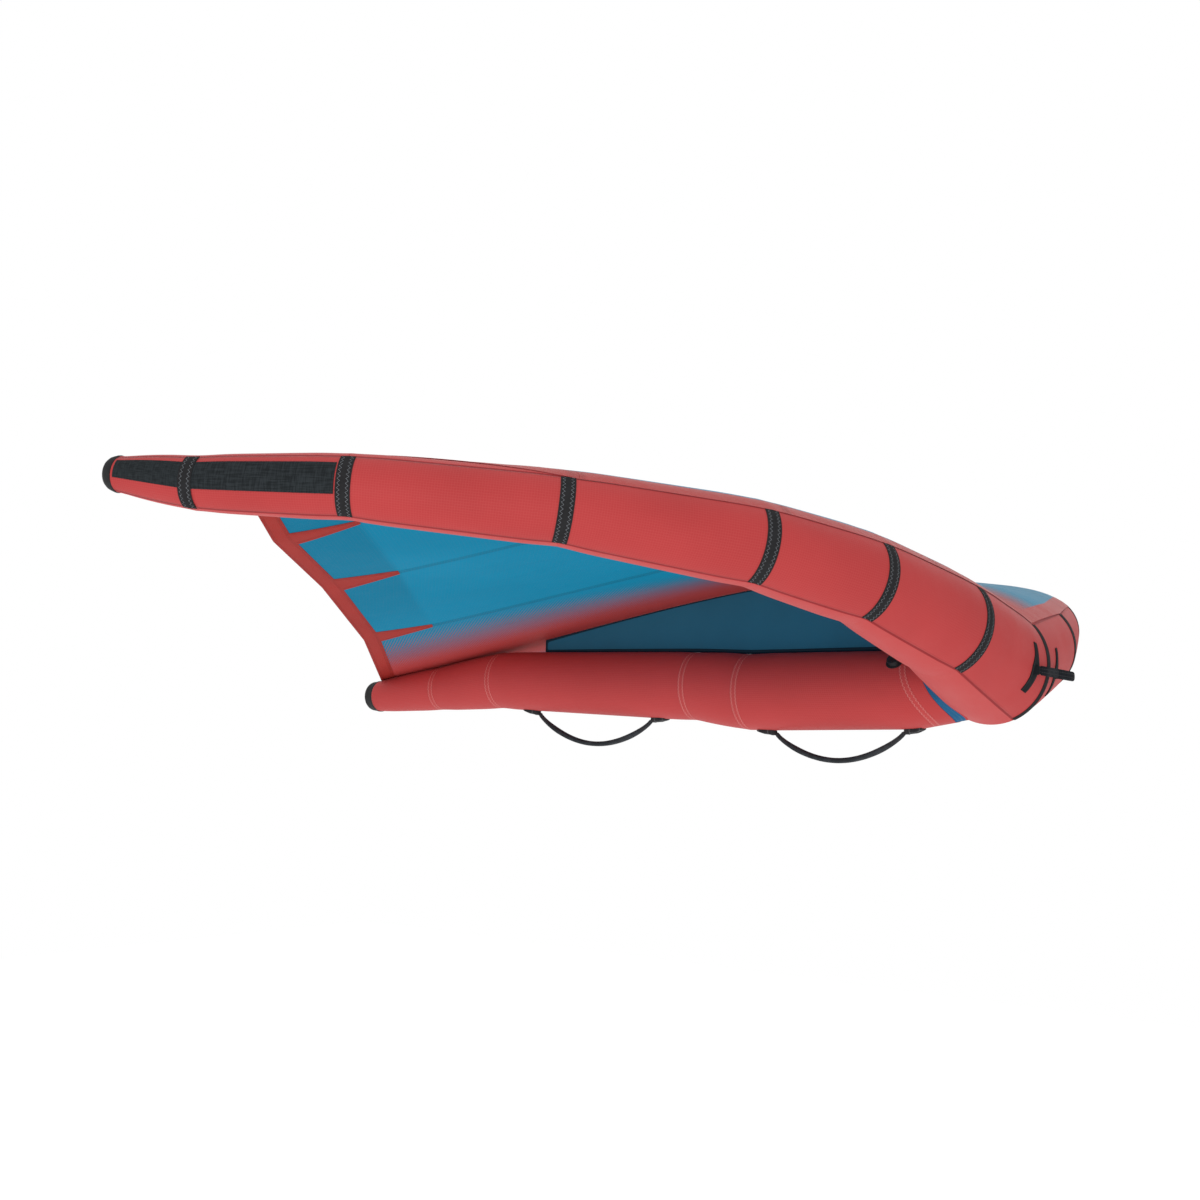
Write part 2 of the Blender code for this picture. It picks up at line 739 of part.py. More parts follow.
def finger_margin(k):
    """Stations just inside and outside seam k, half a finger's root apart."""
    span = EDGE_SPANS[k]
    half = FINGER_ROOT_WIDTH / 2
    return station_at_span(span - half), station_at_span(span + half)


def canopy_stations(first, last):
    """Stations from one seam to the next, with every leading edge seam between them."""
    inner = SEAM_STATIONS[first]
    marks = [inner]
    if first > 0:
        marks.append(finger_margin(first)[1])
    outer = TIP_STATION
    if last < len(SEAM_STATIONS):
        outer = SEAM_STATIONS[last]
        marks.append(finger_margin(last)[0])
    marks.append(outer)
    if last == len(SEAM_STATIONS):
        turns = [inner + (outer - inner) * k / TIP_TURN_STEPS for k in range(1, TIP_TURN_STEPS)]
        return sorted(marks + turns + [math.ceil(inner)])
    marks += [s for s in range(1, LAST_PANEL + 1) if inner + STATION_MARGIN < s < outer - STATION_MARGIN]
    return sorted(marks)


def canopy(parts):
    """Seven cloth panels: one across the middle and three a side."""
    middle = canopy_stations(0, 1)
    both = [-s for s in reversed(middle)] + middle[1:]
    cloth_between("canopy_centre_panel", both, parts, True, True)
    for k in range(1, len(SEAM_STATIONS)):
        outer = canopy_stations(k, k + 1)
        at_tip = k + 1 == len(SEAM_STATIONS)
        cloth_between(f"canopy_left_panel_{k + 1}", outer, parts, True, not at_tip)
        inner = [-s for s in reversed(outer)]
        cloth_between(f"canopy_right_panel_{k + 1}", inner, parts, not at_tip, True)


def all_stations():
    half = []
    for k in range(len(SEAM_STATIONS)):
        half += canopy_stations(k, k + 1)
    half = sorted(set(half))
    return [-s for s in reversed(half)] + half[1:]


def slab(under, over):
    """A closed body between two matching sheets of points."""
    bm = bmesh.new()
    low = [[bm.verts.new(p) for p in row] for row in under]
    high = [[bm.verts.new(p) for p in row] for row in over]
    for r in range(len(low) - 1):
        for c in range(len(low[0]) - 1):
            for skin in (low, high):
                fold_square(bm, skin[r], skin[r + 1], c, c + 1)
    rim = [(0, c) for c in range(len(low[0]))]
    rim += [(r, len(low[0]) - 1) for r in range(1, len(low))]
    rim += [(len(low) - 1, c) for c in range(len(low[0]) - 2, -1, -1)]
    rim += [(r, 0) for r in range(len(low) - 2, 0, -1)]
    for (r0, c0), (r1, c1) in zip(rim, rim[1:] + rim[:1]):
        bm.faces.new((low[r0][c0], low[r1][c1], high[r1][c1], high[r0][c0]))
    bmesh.ops.recalc_face_normals(bm, faces=bm.faces)
    return bm


def lifted(rows, distance):
    return [[point + Vector((0, 0, distance)) for point in row] for row in rows]


def finger_rows(station, side):
    """Outline of one finger under the canopy: it narrows from the band to its tip."""
    chord = canopy_chord(station)
    inner, outer = (canopy_chord(s) for s in finger_margin(SEAM_STATIONS.index(station)))
    rows = []
    picks = (-4, -3, -2)
    for place, pick in enumerate(picks):
        share = place / (len(picks) - 1)
        half = (FINGER_TIP_WIDTH + share * (FINGER_ROOT_WIDTH - FINGER_TIP_WIDTH)) / FINGER_ROOT_WIDTH
        left = chord[pick].lerp(inner[pick], half)
        right = chord[pick].lerp(outer[pick], half)
        rows.append([mirrored(point, side) for point in (left, chord[pick], right)])
    reach = OVERRUN / (chord[-1] - chord[-2]).length
    tail = []
    for line, point in zip((inner, chord, outer), rows[-1]):
        step = (line[-1] - line[-2]) * reach
        tail.append(point + Vector((side * step.x, step.y, step.z)))
    rows.append(tail)
    return rows


def trailing_edge_band(parts, cutters):
    """One load band from tip to tip, joined to a tapered finger under each canopy seam."""
    rows = [canopy_chord(s)[-2:] for s in all_stations()]
    under = lifted(rows, -BAND_LIP - SEW_GAP)
    over = lifted(rows, CANOPY_CLOTH)
    look = material("red_load_band", DARK_RED, 0.5)
    band = add_object("trailing_edge_band", slab(under, over), parts, look)
    for side in (-1, 1):
        for station in SEAM_STATIONS[1:]:
            outline = finger_rows(station, side)
            body = slab(lifted(outline, -SEW_GAP - FINGER_THICKNESS), lifted(outline, -SEW_GAP))
            finger = add_object("finger", body, cutters)
            finger.hide_render = True
            finger.display_type = "WIRE"
            cut(band, finger, "UNION")
    smooth(apply_modifiers(band))


def strut_web(parts):
    """Flat cloth wall from the strut's top to the canopy's middle line."""
    outline = []
    tube = [edge_point(0.0, step, SEAT_GAP) for step in range(CANOPY_LEAVE_STEP, TUBE_SIDES // 2)]
    chord = canopy_chord(0.0)[1:-2]
    for point in chord:
        if point.y < WEB_REAR and point.y > tube[2].y:
            outline.append(Vector((0, point.y, point.z - SEW_GAP)))
    rear_top = interpolate(WEB_REAR, [p.y for p in chord], [p.z for p in chord]) - SEW_GAP
    outline.append(Vector((0, WEB_REAR, rear_top)))
    foot = [aft for aft in reversed(STRUT_SEAM_AFTS) if aft < WEB_REAR]
    for aft in [WEB_REAR] + foot:
        outline.append(Vector((0, aft, strut_top(aft) + SEW_GAP)))
    front = [p for p in reversed(tube) if p.z > strut_top(p.y) + SEW_GAP and p.y > tube[2].y]
    below = tube[tube.index(front[0]) + 1]
    floor = strut_top(front[0].y) + SEW_GAP
    meet = front[0].lerp(below, (front[0].z - floor) / (front[0].z - below.z))
    outline.append(Vector((0, meet.y, floor)))
    outline += [Vector((0, p.y, p.z)) for p in front]
    bm = bmesh.new()
    half = WEB_THICKNESS / 2
    loop = [bm.verts.new(p + Vector((-half, 0, 0))) for p in outline]
    face = bm.faces.new(loop)
    grown = bmesh.ops.extrude_face_region(bm, geom=[face])
    moved = [v for v in grown["geom"] if isinstance(v, bmesh.types.BMVert)]
    bmesh.ops.translate(bm, verts=moved, vec=Vector((WEB_THICKNESS, 0, 0)))
    bmesh.ops.recalc_face_normals(bm, faces=bm.faces)
    add_object("strut_web", bm, parts, material("deep_blue_cloth", DEEP_BLUE, 0.6))


def rounded_section(width, thickness, across, up, centre):
    """A flattened round section about a centre."""
    shape = []
    for k in range(GRIP_SIDES):
        angle = math.radians(360.0 * k / GRIP_SIDES)
        flat = math.copysign(abs(math.cos(angle)) ** GRIP_SIDE_ROUNDING, math.cos(angle))
        tall = math.copysign(abs(math.sin(angle)) ** GRIP_FACE_ROUNDING, math.sin(angle))
        shape.append(centre + flat * width / 2 * across + tall * thickness / 2 * up)
    return shape


def grip_shares(count):
    return [k / (count - 1) for k in range(count)]


def swing_empty(name, place, parts):
    """An empty on a joint axis, which its moving piece hangs from."""
    empty = bpy.data.objects.new(name, None)
    empty.location = place
    parts.objects.link(empty)
    return empty


def hang_on(thing, empty):
    thing.parent = empty
    thing.matrix_parent_inverse = empty.matrix_basis.inverted()


def strap_path(first, last, drop_way, drop, count):
    """Hanging line between two pivots: steep by the ends and flat in the middle."""
    path = []
    for share in grip_shares(count):
        sag = math.sin(math.pi * share) ** STRAP_SAG_ROUNDING
        path.append(first.lerp(last, share) + drop * sag * drop_way)
    return path


def grip_solid(path, across, width, thickness, end_size, neck_share):
    """Sweep a flattened section along a path, narrowing to a round end at each pivot."""
    rings = []
    count = len(path)
    for k, centre in enumerate(path):
        along = (path[min(k + 1, count - 1)] - path[max(k - 1, 0)]).normalized()
        if k in (0, count - 1):
            along = (path[-1] - path[0]).normalized()
        up = along.cross(across).normalized()
        fill = min(1.0, min(k, count - 1 - k) / (count - 1) / neck_share)
        wide = end_size + fill * (width - end_size)
        tall = end_size + fill * (thickness - end_size)
        rings.append(rounded_section(wide, tall, across, up, centre))
    return loft(rings)


def strut_handle(name, afts, drop, parts):
    """A hanging grip between two anchors; it swings about the line between its pivots."""
    look = material("black_webbing", BLACK, 0.8)
    pivots = [Vector((0, aft, strut_bottom(aft) - HANDLE_STANDOFF)) for aft in afts]
    axis = (pivots[1] - pivots[0]).normalized()
    first = pivots[0] + axis * SEW_GAP
    last = pivots[1] - axis * SEW_GAP
    path = strap_path(first, last, Vector((0, 0, -1)), drop, HANDLE_STATIONS)
    sizes = (HANDLE_WIDTH, HANDLE_THICKNESS, HANDLE_END_DIAMETER)
    body = grip_solid(path, Vector((1, 0, 0)), *sizes, GRIP_NECK_SHARE)
    grip = add_object(f"{name}_grip", body, parts, look)
    smooth(grip, SOFT_EDGE_DEG)
    empty = swing_empty(f"{name}_axis", (pivots[0] + pivots[1]) / 2, parts)
    hang_on(grip, empty)
    for pivot, way, end in ((pivots[0], -1, "fore"), (pivots[1], 1, "aft")):
        anchor_patch(f"{name}_anchor_{end}", pivot, way, parts, look)


def anchor_patch(name, pivot, way, parts, look):
    """Sewn webbing block under the strut; its face by the grip is square to the swing axis."""
    places = (0.0, ANCHOR_NOSE, ANCHOR_LENGTH * ANCHOR_SHOULDER_SHARE, ANCHOR_LENGTH)
    drops = (HANDLE_STANDOFF + HANDLE_END_DIAMETER / 2, HANDLE_STANDOFF + HANDLE_END_DIAMETER / 2,
             HANDLE_STANDOFF, ANCHOR_HEM)
    widths = (HANDLE_END_DIAMETER, ANCHOR_WIDTH * ANCHOR_NECK_SHARE, ANCHOR_WIDTH, ANCHOR_WIDTH)
    bends = [abs(aft - pivot.y) for aft in STRUT_SEAM_AFTS if 0 < way * (aft - pivot.y) < ANCHOR_LENGTH]
    rings = []
    for place in sorted(places + tuple(bends)):
        aft = pivot.y + way * place
        drop = interpolate(place, places, drops)
        half = interpolate(place, places, widths) / 2
        height, radius = strut_axis(aft)
        seat = radius + SEW_GAP
        xs = [half * share for share in ANCHOR_ROW_SHARES]
        tops = [Vector((x, aft, height - math.sqrt(seat ** 2 - x ** 2))) for x in xs]
        under = strut_bottom(aft) - drop
        lows = []
        for x, top in zip(xs, tops):
            round_share = (abs(x) / half) ** ANCHOR_ROUND_POWER
            low = under + round_share * (top.z - ANCHOR_HEM - under)
            lows.append(Vector((x, aft, min(low, top.z - ANCHOR_HEM))))
        rings.append(tops + list(reversed(lows)))
    smooth(add_object(name, loft(rings), parts, look), SOFT_EDGE_DEG)


def nose_pivot(side):
    """Pivot of the nose handle, off the front of the tube."""
    share = NOSE_HANDLE_HALF_SPAN / abs(SEAMS[1].centre.x)
    step = NOSE_HANDLE_ANGLE_DEG / STEP_DEG
    return edge_point(side * share, step, NOSE_HANDLE_STANDOFF)


def nose_handle(parts):
    """A padded grip across the nose, which swings up and down on its two Y patches."""
    look = material("black_webbing", BLACK, 0.8)
    near, far = nose_pivot(-1), nose_pivot(1)
    droop = math.radians(NOSE_HANDLE_DROOP_DEG)
    ahead = Vector((0, -math.cos(droop), -math.sin(droop)))
    gap = Vector((SEW_GAP, 0, 0))
    path = strap_path(near + gap, far - gap, ahead, NOSE_HANDLE_REACH, NOSE_HANDLE_STATIONS)
    sizes = (NOSE_HANDLE_HEIGHT, NOSE_HANDLE_THICKNESS, NOSE_HANDLE_THICKNESS)
    body = grip_solid(path, Vector((0, 0, 1)), *sizes, NOSE_HANDLE_NECK_SHARE)
    grip = add_object("nose_handle_grip", body, parts, look)
    smooth(grip, SOFT_EDGE_DEG)
    hang_on(grip, swing_empty("nose_handle_axis", (near + far) / 2, parts))
    for side in (-1, 1):
        y_patch(side, parts, look)


def leg_rows(side, lift):
    """Both edges of a Y patch's legs, this far off the tube."""
    span = abs(SEAMS[1].centre.x)
    rows = []
    for step, centre in zip(Y_STEPS, Y_CENTRES):
        edges = (centre - Y_PATCH_WIDTH / 2, centre + Y_PATCH_WIDTH / 2)
        rows.append([edge_point(side * edge / span, step, lift) for edge in edges])
    return rows


def y_patch(side, parts, look):
    """Webbing legs sewn round the tube, with a boss that holds the grip's end."""
    under = leg_rows(side, SEAT_GAP)
    over = leg_rows(side, SEAT_GAP + Y_PATCH_THICKNESS)
    patch = add_object(f"nose_handle_patch_{side_name(side)}", slab(under, over), parts, look)
    pivot = nose_pivot(side)
    half = NOSE_HANDLE_THICKNESS / 2
    span = abs(SEAMS[1].centre.x)
    step = NOSE_HANDLE_ANGLE_DEG / STEP_DEG
    base = edge_point(side * NOSE_HANDLE_HALF_SPAN / span, step, SEAT_GAP + Y_PATCH_THICKNESS / 2)
    near, far = pivot.x, pivot.x + side * Y_BOSS_LENGTH
    low, high = pivot.z - half, pivot.z + half
    rings = []
    for aft in (pivot.y - half, base.y):
        rings.append([Vector((x, aft, z)) for x, z in ((near, low), (far, low), (far, high), (near, high))])
    boss = add_object("boss", loft(rings), patch.users_collection[0])
    cut(patch, boss, "UNION")
    apply_modifiers(patch)
    bpy.data.objects.remove(boss, do_unlink=True)


def valve_frame():
    """Centre on the strut's skin, outward axis, and the two directions across it."""
    height, radius = strut_axis(VALVE_AFT)
    angle = math.radians(VALVE_ANGLE_DEG)
    out = Vector((-math.cos(angle), 0, math.sin(angle)))
    aft = Vector((0, 1, 0))
    centre = Vector((0, VALVE_AFT, height)) + radius * out
    return centre, out, aft, out.cross(aft)


def disc_ring(centre, radius, first, second):
    """A round ring about a centre, in the plane of two directions."""
    ring = []
    for k in range(VALVE_SIDES):
        angle = math.radians(360.0 * k / VALVE_SIDES)
        ring.append(centre + radius * (math.cos(angle) * first + math.sin(angle) * second))
    return ring


def valve(parts):
    """Flanged neck welded through the strut's skin and a cap that hinges on its rim."""
    centre, out, first, second = valve_frame()
    look = material("valve_plastic", BLACK, 0.35)
    flange = VALVE_FLANGE_DIAMETER / 2
    neck = VALVE_NECK_DIAMETER / 2
    bore = VALVE_BORE_DIAMETER / 2
    foot = SEW_GAP
    shelf = foot + VALVE_FLANGE_THICKNESS
    rim = shelf + VALVE_NECK_HEIGHT
    slope = VALVE_FLANGE_THICKNESS / 2
    profile = ((flange, foot), (flange, shelf - slope), (flange - slope, shelf),
               (neck, shelf), (neck, rim), (bore, rim), (bore, foot))
    rings = [disc_ring(centre + out * height, radius, first, second) for radius, height in profile]
    base = add_object("valve_base", loft(rings + rings[:1], False, False), parts, look)
    weld(base)
    smooth(base, PLASTIC_EDGE_DEG)
    lid_foot = rim + SEW_GAP
    lid_top = lid_foot + VALVE_CAP_THICKNESS
    lid = VALVE_CAP_DIAMETER / 2
    edge = VALVE_CAP_THICKNESS / 4
    profile = ((lid, lid_foot), (lid, lid_top - edge), (lid - edge, lid_top))
    rings = [disc_ring(centre + out * height, radius, first, second) for radius, height in profile]
    cap = add_object("valve_cap", loft(rings), parts, look)
    smooth(cap, PLASTIC_EDGE_DEG)
    hinge = centre + out * (lid_foot + VALVE_CAP_THICKNESS / 2) + first * (lid + VALVE_PIN_DIAMETER / 2)
    hang_on(cap, swing_empty("valve_cap_axis", hinge, parts))


def weld(thing):
    """Join the vertices that lie in one place."""
    bm = bmesh.new()
    bm.from_mesh(thing.data)
    bmesh.ops.remove_doubles(bm, verts=bm.verts, dist=SEW_GAP / 10)
    bmesh.ops.recalc_face_normals(bm, faces=bm.faces)
    bm.to_mesh(thing.data)
    bm.free()


def settle_origin(parts):
    """Move the wing so that the origin lies under the middle of its box."""
    bpy.context.view_layer.update()
    graph = bpy.context.evaluated_depsgraph_get()
    low, high = Vector((math.inf,) * 3), Vector((-math.inf,) * 3)
    for thing in parts.objects:
        if thing.type != "MESH":
            continue
        shape = thing.evaluated_get(graph)
        for vert in shape.data.vertices:
            place = shape.matrix_world @ vert.co
            low = Vector(map(min, low, place))
            high = Vector(map(max, high, place))
    shift = Vector((-(low.x + high.x) / 2, -(low.y + high.y) / 2, -low.z))
    for thing in parts.objects:
        if thing.parent is None:
            thing.location = thing.location + shift
    bpy.context.view_layer.update()
    print("origin shift", [round(v, 5) for v in shift], "size", [round(v, 4) for v in high - low])


def main():
    clear_scene()
    parts = new_collection(PART_NAME)
    cutters = new_collection("cutters")
    leading_edge_panels(parts)
    seam_tapes(parts)
    scuff_patches(parts)
    tip_caps(parts)
    leading_edge_bladder(parts)
    strut_panels(parts, cutters)
    strut_end_cap(parts)
    strut_bladder(parts)
    canopy(parts)
    trailing_edge_band(parts, cutters)
    strut_web(parts)
    strut_handle("rear_handle", REAR_HANDLE_AFTS, REAR_HANDLE_DROP, parts)
    strut_handle("front_handle", FRONT_HANDLE_AFTS, FRONT_HANDLE_DROP, parts)
    nose_handle(parts)
    valve(parts)
    settle_origin(parts)


main()
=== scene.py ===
# %% [markdown]
# # A wingfoil wing, dressed for its portrait
#
# The wing is an inflatable kite that a rider holds by hand. A tapered tube, the leading edge,
# sweeps from tip to tip. A second tube, the strut, runs from the nose to the tail. A thin cloth
# canopy is sewn between them, and webbing grips hang under the strut.
#
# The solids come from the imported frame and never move. This lesson sews cloth over them: nearly
# every piece starts as a flat grid, as it is cut on a sail loft's table, and is then rolled or
# stretched into place. The grid's flat shape is kept as a UV map in metres, so that weave and
# stitches have their real size.

import math

import bmesh
import bpy
from mathutils import Matrix, Vector


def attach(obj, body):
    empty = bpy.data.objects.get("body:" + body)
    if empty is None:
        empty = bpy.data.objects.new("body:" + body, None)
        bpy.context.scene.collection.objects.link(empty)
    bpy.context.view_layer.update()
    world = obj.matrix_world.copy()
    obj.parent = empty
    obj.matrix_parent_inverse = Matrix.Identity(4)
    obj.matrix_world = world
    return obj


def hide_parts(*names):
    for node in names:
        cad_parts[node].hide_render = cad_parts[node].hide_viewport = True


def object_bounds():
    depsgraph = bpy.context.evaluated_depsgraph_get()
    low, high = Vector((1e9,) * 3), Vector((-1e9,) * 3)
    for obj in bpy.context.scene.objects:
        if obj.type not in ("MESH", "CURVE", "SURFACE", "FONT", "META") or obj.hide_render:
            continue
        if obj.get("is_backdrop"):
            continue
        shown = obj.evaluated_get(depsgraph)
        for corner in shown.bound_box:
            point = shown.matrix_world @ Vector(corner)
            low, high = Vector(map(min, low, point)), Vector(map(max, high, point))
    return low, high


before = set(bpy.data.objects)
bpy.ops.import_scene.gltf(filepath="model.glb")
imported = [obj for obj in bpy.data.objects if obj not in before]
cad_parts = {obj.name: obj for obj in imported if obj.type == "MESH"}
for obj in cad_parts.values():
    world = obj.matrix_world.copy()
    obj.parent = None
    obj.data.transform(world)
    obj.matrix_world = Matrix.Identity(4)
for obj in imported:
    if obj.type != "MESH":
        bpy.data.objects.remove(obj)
cad_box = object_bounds()

# %% [markdown]
# ## Where the photographer stood
#
# The camera sits a little below the wing and in front of its right arm, and looks up by about
# six degrees. The place and the lens come from lining up the known shape of the wing with its
# outline in the photograph. The drawing's own origin is the middle of the nose tube, so
# everything here is drawn about that point and moved once by NOSE.

# %% Camera
NOSE = Vector((0.0, -0.91666, 0.23953))
CAMERA_PLACE = Vector((-3.28721, -1.18767, -0.25016))
YAW, PITCH, ROLL = 0.61705, 0.11158, 0.03321

ahead = Vector((math.cos(YAW) * math.cos(PITCH), math.sin(YAW) * math.cos(PITCH), math.sin(PITCH)))
level = Vector((math.sin(YAW), -math.cos(YAW), 0.0))
upright = level.cross(ahead)
right = math.cos(ROLL) * level + math.sin(ROLL) * upright
above = math.cos(ROLL) * upright - math.sin(ROLL) * level

lens = bpy.data.cameras.new("camera")
lens.sensor_width = 36.0
lens.lens = 42.579
camera = bpy.data.objects.new("camera", lens)
bpy.context.scene.collection.objects.link(camera)
turn = camera.matrix_world.to_3x3()
for row in range(3):
    turn[row] = (right[row], above[row], -ahead[row])
camera.matrix_world = turn.to_4x4()
camera.location = CAMERA_PLACE + NOSE
bpy.context.scene.camera = camera
print("camera at", [round(v, 3) for v in camera.location], "lens", lens.lens)

# %% [markdown]
# ## A white studio
#
# The wing hangs in front of white paper. Soft light comes from every side, as in a light tent,
# with one large lamp above and a weaker one in front. The floor is a plain pale sheet well below
# the wing, so it catches only a faint shadow. The camera sees the world as white, while the
# light that it throws on the cloth is set apart.

# %% Node trees with short names
class Nodes:
    """A node tree, with short names for the nodes that this lesson needs."""

    def __init__(self, tree):
        self.tree = tree

    def add(self, kind, **settings):
        """A shader node of this kind, with its properties set by name."""
        made = self.tree.nodes.new("ShaderNode" + kind)
        for name, value in settings.items():
            setattr(made, name, value)
        return made

    def feed(self, value, socket):
        """Plug an output into a socket, or write a plain number or colour there."""
        if isinstance(value, bpy.types.NodeSocket):
            self.tree.links.new(value, socket)
        else:
            socket.default_value = (*value, 1.0) if socket.type == "RGBA" else value

    def calc(self, operation, *values):
        """One Math node."""
        made = self.add("Math", operation=operation)
        for value, socket in zip(values, made.inputs):
            self.feed(value, socket)
        return made.outputs[0]

    def times(self, value, factor):
        return self.calc("MULTIPLY", value, factor)

    def fade(self, value, low, high, at_low=0.0, at_high=1.0):
        """Smooth step from at_low to at_high while value goes from low to high."""
        made = self.add("MapRange", interpolation_type="SMOOTHSTEP")
        for item, socket in zip((value, low, high, at_low, at_high), made.inputs):
            self.feed(item, socket)
        return made.outputs[0]

    def mix(self, share, first, second):
        """Mix two colours; share 0 gives the first."""
        made = self.add("Mix", data_type="RGBA")
        for value, place in ((share, 0), (first, 6), (second, 7)):
            self.feed(value, made.inputs[place])
        return made.outputs[2]

    def parts(self, vector):
        """The three parts of a vector."""
        made = self.add("SeparateXYZ")
        self.feed(vector, made.inputs[0])
        return made.outputs

    def seen(self, thrown, looked_at):
        """One strength for the light that is thrown, another for what the camera sees."""
        return self.fade(self.add("LightPath").outputs["Is Camera Ray"], 0.0, 1.0, thrown, looked_at)


# %% Finishes in layers
class Finish(Nodes):
    """A Principled material, built up from layers of colour and of relief."""

    def __init__(self, name, colour, roughness, shine=0.18):
        self.look = bpy.data.materials.new(name)
        self.look.use_nodes = True
        self.look.diffuse_color = (*colour, 1.0)
        super().__init__(self.look.node_tree)
        self.shader = self.tree.nodes["Principled BSDF"]
        self.body, self.normal = colour, None
        self.set("Roughness", roughness)
        self.set("Specular IOR Level", shine)

    def set(self, name, value):
        """Give one socket of the shader its value."""
        self.feed(value, self.shader.inputs[name])

    def mottle(self, vector, scale, detail=3.0):
        """Slow cloudy variation between 0 and 1."""
        made = self.add("TexNoise")
        for name, value in (("Vector", vector), ("Scale", scale), ("Detail", detail)):
            self.feed(value, made.inputs[name])
        return made.outputs[0]

    def lines(self, coordinate, pitch, width):
        """1 on lines that repeat at a pitch, 0 between them."""
        away = self.calc("PINGPONG", coordinate, pitch / 2)
        return self.fade(away, width * 0.5, width, 1.0, 0.0)

    def paint(self, share, colour, amount=1.0):
        """Lay a colour over the body by this share; a smaller amount thins it."""
        if amount < 1.0:
            share = self.times(share, amount)
        self.body = self.mix(share, self.body, colour)

    def carve(self, height, depth):
        """Add relief that reads a height of 0 to 1 as this depth in metres."""
        made = self.add("Bump")
        for name, value in (("Strength", 1.0), ("Distance", depth), ("Height", height)):
            self.feed(value, made.inputs[name])
        if self.normal is not None:
            self.feed(self.normal, made.inputs["Normal"])
        self.normal = made.outputs[0]

    def done(self):
        """Plug in the layers and hand over the material."""
        self.set("Base Color", self.body)
        if self.normal is not None:
            self.set("Normal", self.normal)
        return self.look


# %% World and lamps
world = bpy.data.worlds.new("paper")
bpy.context.scene.world = world
world.use_nodes = True
background = world.node_tree.nodes["Background"]
paper = Nodes(world.node_tree)
paper.feed((1.0, 1.0, 1.0), background.inputs["Color"])
paper.feed(paper.seen(0.68, 1.0), background.inputs["Strength"])


def soft_lamp(name, place, aim, size, watts):
    """A large square lamp that points at a spot."""
    data = bpy.data.lights.new(name, "AREA")
    data.shape = "SQUARE"
    data.size = size
    data.energy = watts
    lamp = bpy.data.objects.new(name, data)
    lamp.location = place
    lamp.rotation_euler = (Vector(aim) - Vector(place)).to_track_quat("-Z", "Y").to_euler()
    bpy.context.scene.collection.objects.link(lamp)


soft_lamp("sky_lamp", (-1.5, -1.5, 4.5), (0, 0, 0.3), 5.0, 35.0)
soft_lamp("front_lamp", (-5.0, -2.2, -0.7), (0, 0, 0.1), 3.0, 56.0)


# %% Floor
def to_object(name, bm):
    """Turn a bmesh into an object at the origin."""
    mesh = bpy.data.meshes.new(name)
    bm.to_mesh(mesh)
    bm.free()
    made = bpy.data.objects.new(name, mesh)
    bpy.context.scene.collection.objects.link(made)
    return made


FLOOR_DROP = -7.0
FLOOR_HALF = 40.0
sheet = bmesh.new()
bmesh.ops.create_grid(sheet, x_segments=1, y_segments=1, size=FLOOR_HALF)
bmesh.ops.translate(sheet, verts=sheet.verts, vec=(0, 0, FLOOR_DROP))
floor = to_object("floor", sheet)
white = Finish("white_floor", (0.9, 0.9, 0.9), 0.9, 0.5)
white.set("Emission Color", (1.0, 1.0, 1.0))
white.set("Emission Strength", white.seen(0.37, 0.60))
floor.data.materials.append(white.done())
floor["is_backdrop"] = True
bpy.context.scene.view_settings.view_transform = "Standard"

# %% [markdown]
# ## The cloth's flat cut
#
# Every cloth piece is made in the same steps. A grid is the flat cut. Its UV map keeps the flat
# place of each thread in metres. A surface function then says where each point of the cut ends
# up, and how far it stands proud of the tube beneath. Solidify gives the cloth its thickness.

# %% Helpers that lay cloth
def harden(thing):
    """Apply the modifiers, so that the piece is one finished mesh."""
    graph = bpy.context.evaluated_depsgraph_get()
    mesh = bpy.data.meshes.new_from_object(thing.evaluated_get(graph))
    thing.modifiers.clear()
    thing.data = mesh


def round_off(thing, degrees=50.0):
    """Smooth shading that keeps edges sharper than this angle."""
    thing.data.shade_smooth()
    thing.data.set_sharp_from_angle(angle=math.radians(degrees))
    return thing


def sew_grid(cuts, surface, chart, marks, outward=None):
    """A grid whose points lie at surface(u, v) and whose flat map, in metres, is chart(u, v).

    marks holds functions of (u, v) whose values are kept on the mesh by name. Where outward is
    given, the middle of the grid faces that way.
    """
    bm = bmesh.new()
    flat = bm.loops.layers.uv.new("cloth")
    bmesh.ops.create_grid(bm, x_segments=cuts[0], y_segments=cuts[1], size=0.5)
    kept = {word: bm.verts.layers.float.new(word) for word in marks}
    for face in bm.faces:
        for loop in face.loops:
            loop[flat].uv = chart(loop.vert.co.x + 0.5, loop.vert.co.y + 0.5)
    middle = min(bm.faces, key=lambda f: (f.calc_center_median() - Vector((0.02, 0.02, 0))).length)
    for vert in bm.verts:
        u, v = vert.co.x + 0.5, vert.co.y + 0.5
        for word, layer in kept.items():
            vert[layer] = marks[word](u, v)
        vert.co = surface(u, v)
    if outward:
        bm.normal_update()
        if middle.normal.dot(outward) < 0:
            bmesh.ops.reverse_faces(bm, faces=bm.faces)
    return bm


def lay_cloth(name, cuts, size, surface, lift=0.0, thickness=0.001, closed=False, marks=None, chart=None):
    """Lay a flat cut of size (width, length) on a surface, and give it its thickness.

    surface(u, v, lift) places a point of the cut, lifted off the skin. marks may hold the distance
    to the nearest seam. chart gives the flat map where the cut isn't a rectangle.
    """
    outward = surface(0.52, 0.52, lift + 0.001) - surface(0.52, 0.52, lift)
    bm = sew_grid(cuts, lambda u, v: surface(u, v, lift), chart or (lambda u, v: (u * size[0], v * size[1])),
                  marks or {}, outward)
    if closed:
        bmesh.ops.remove_doubles(bm, verts=bm.verts, dist=0.0001)
    made = to_object(name, bm)
    wall = made.modifiers.new("wall", "SOLIDIFY")
    wall.thickness = thickness
    wall.offset = 1.0
    harden(made)
    return round_off(made)


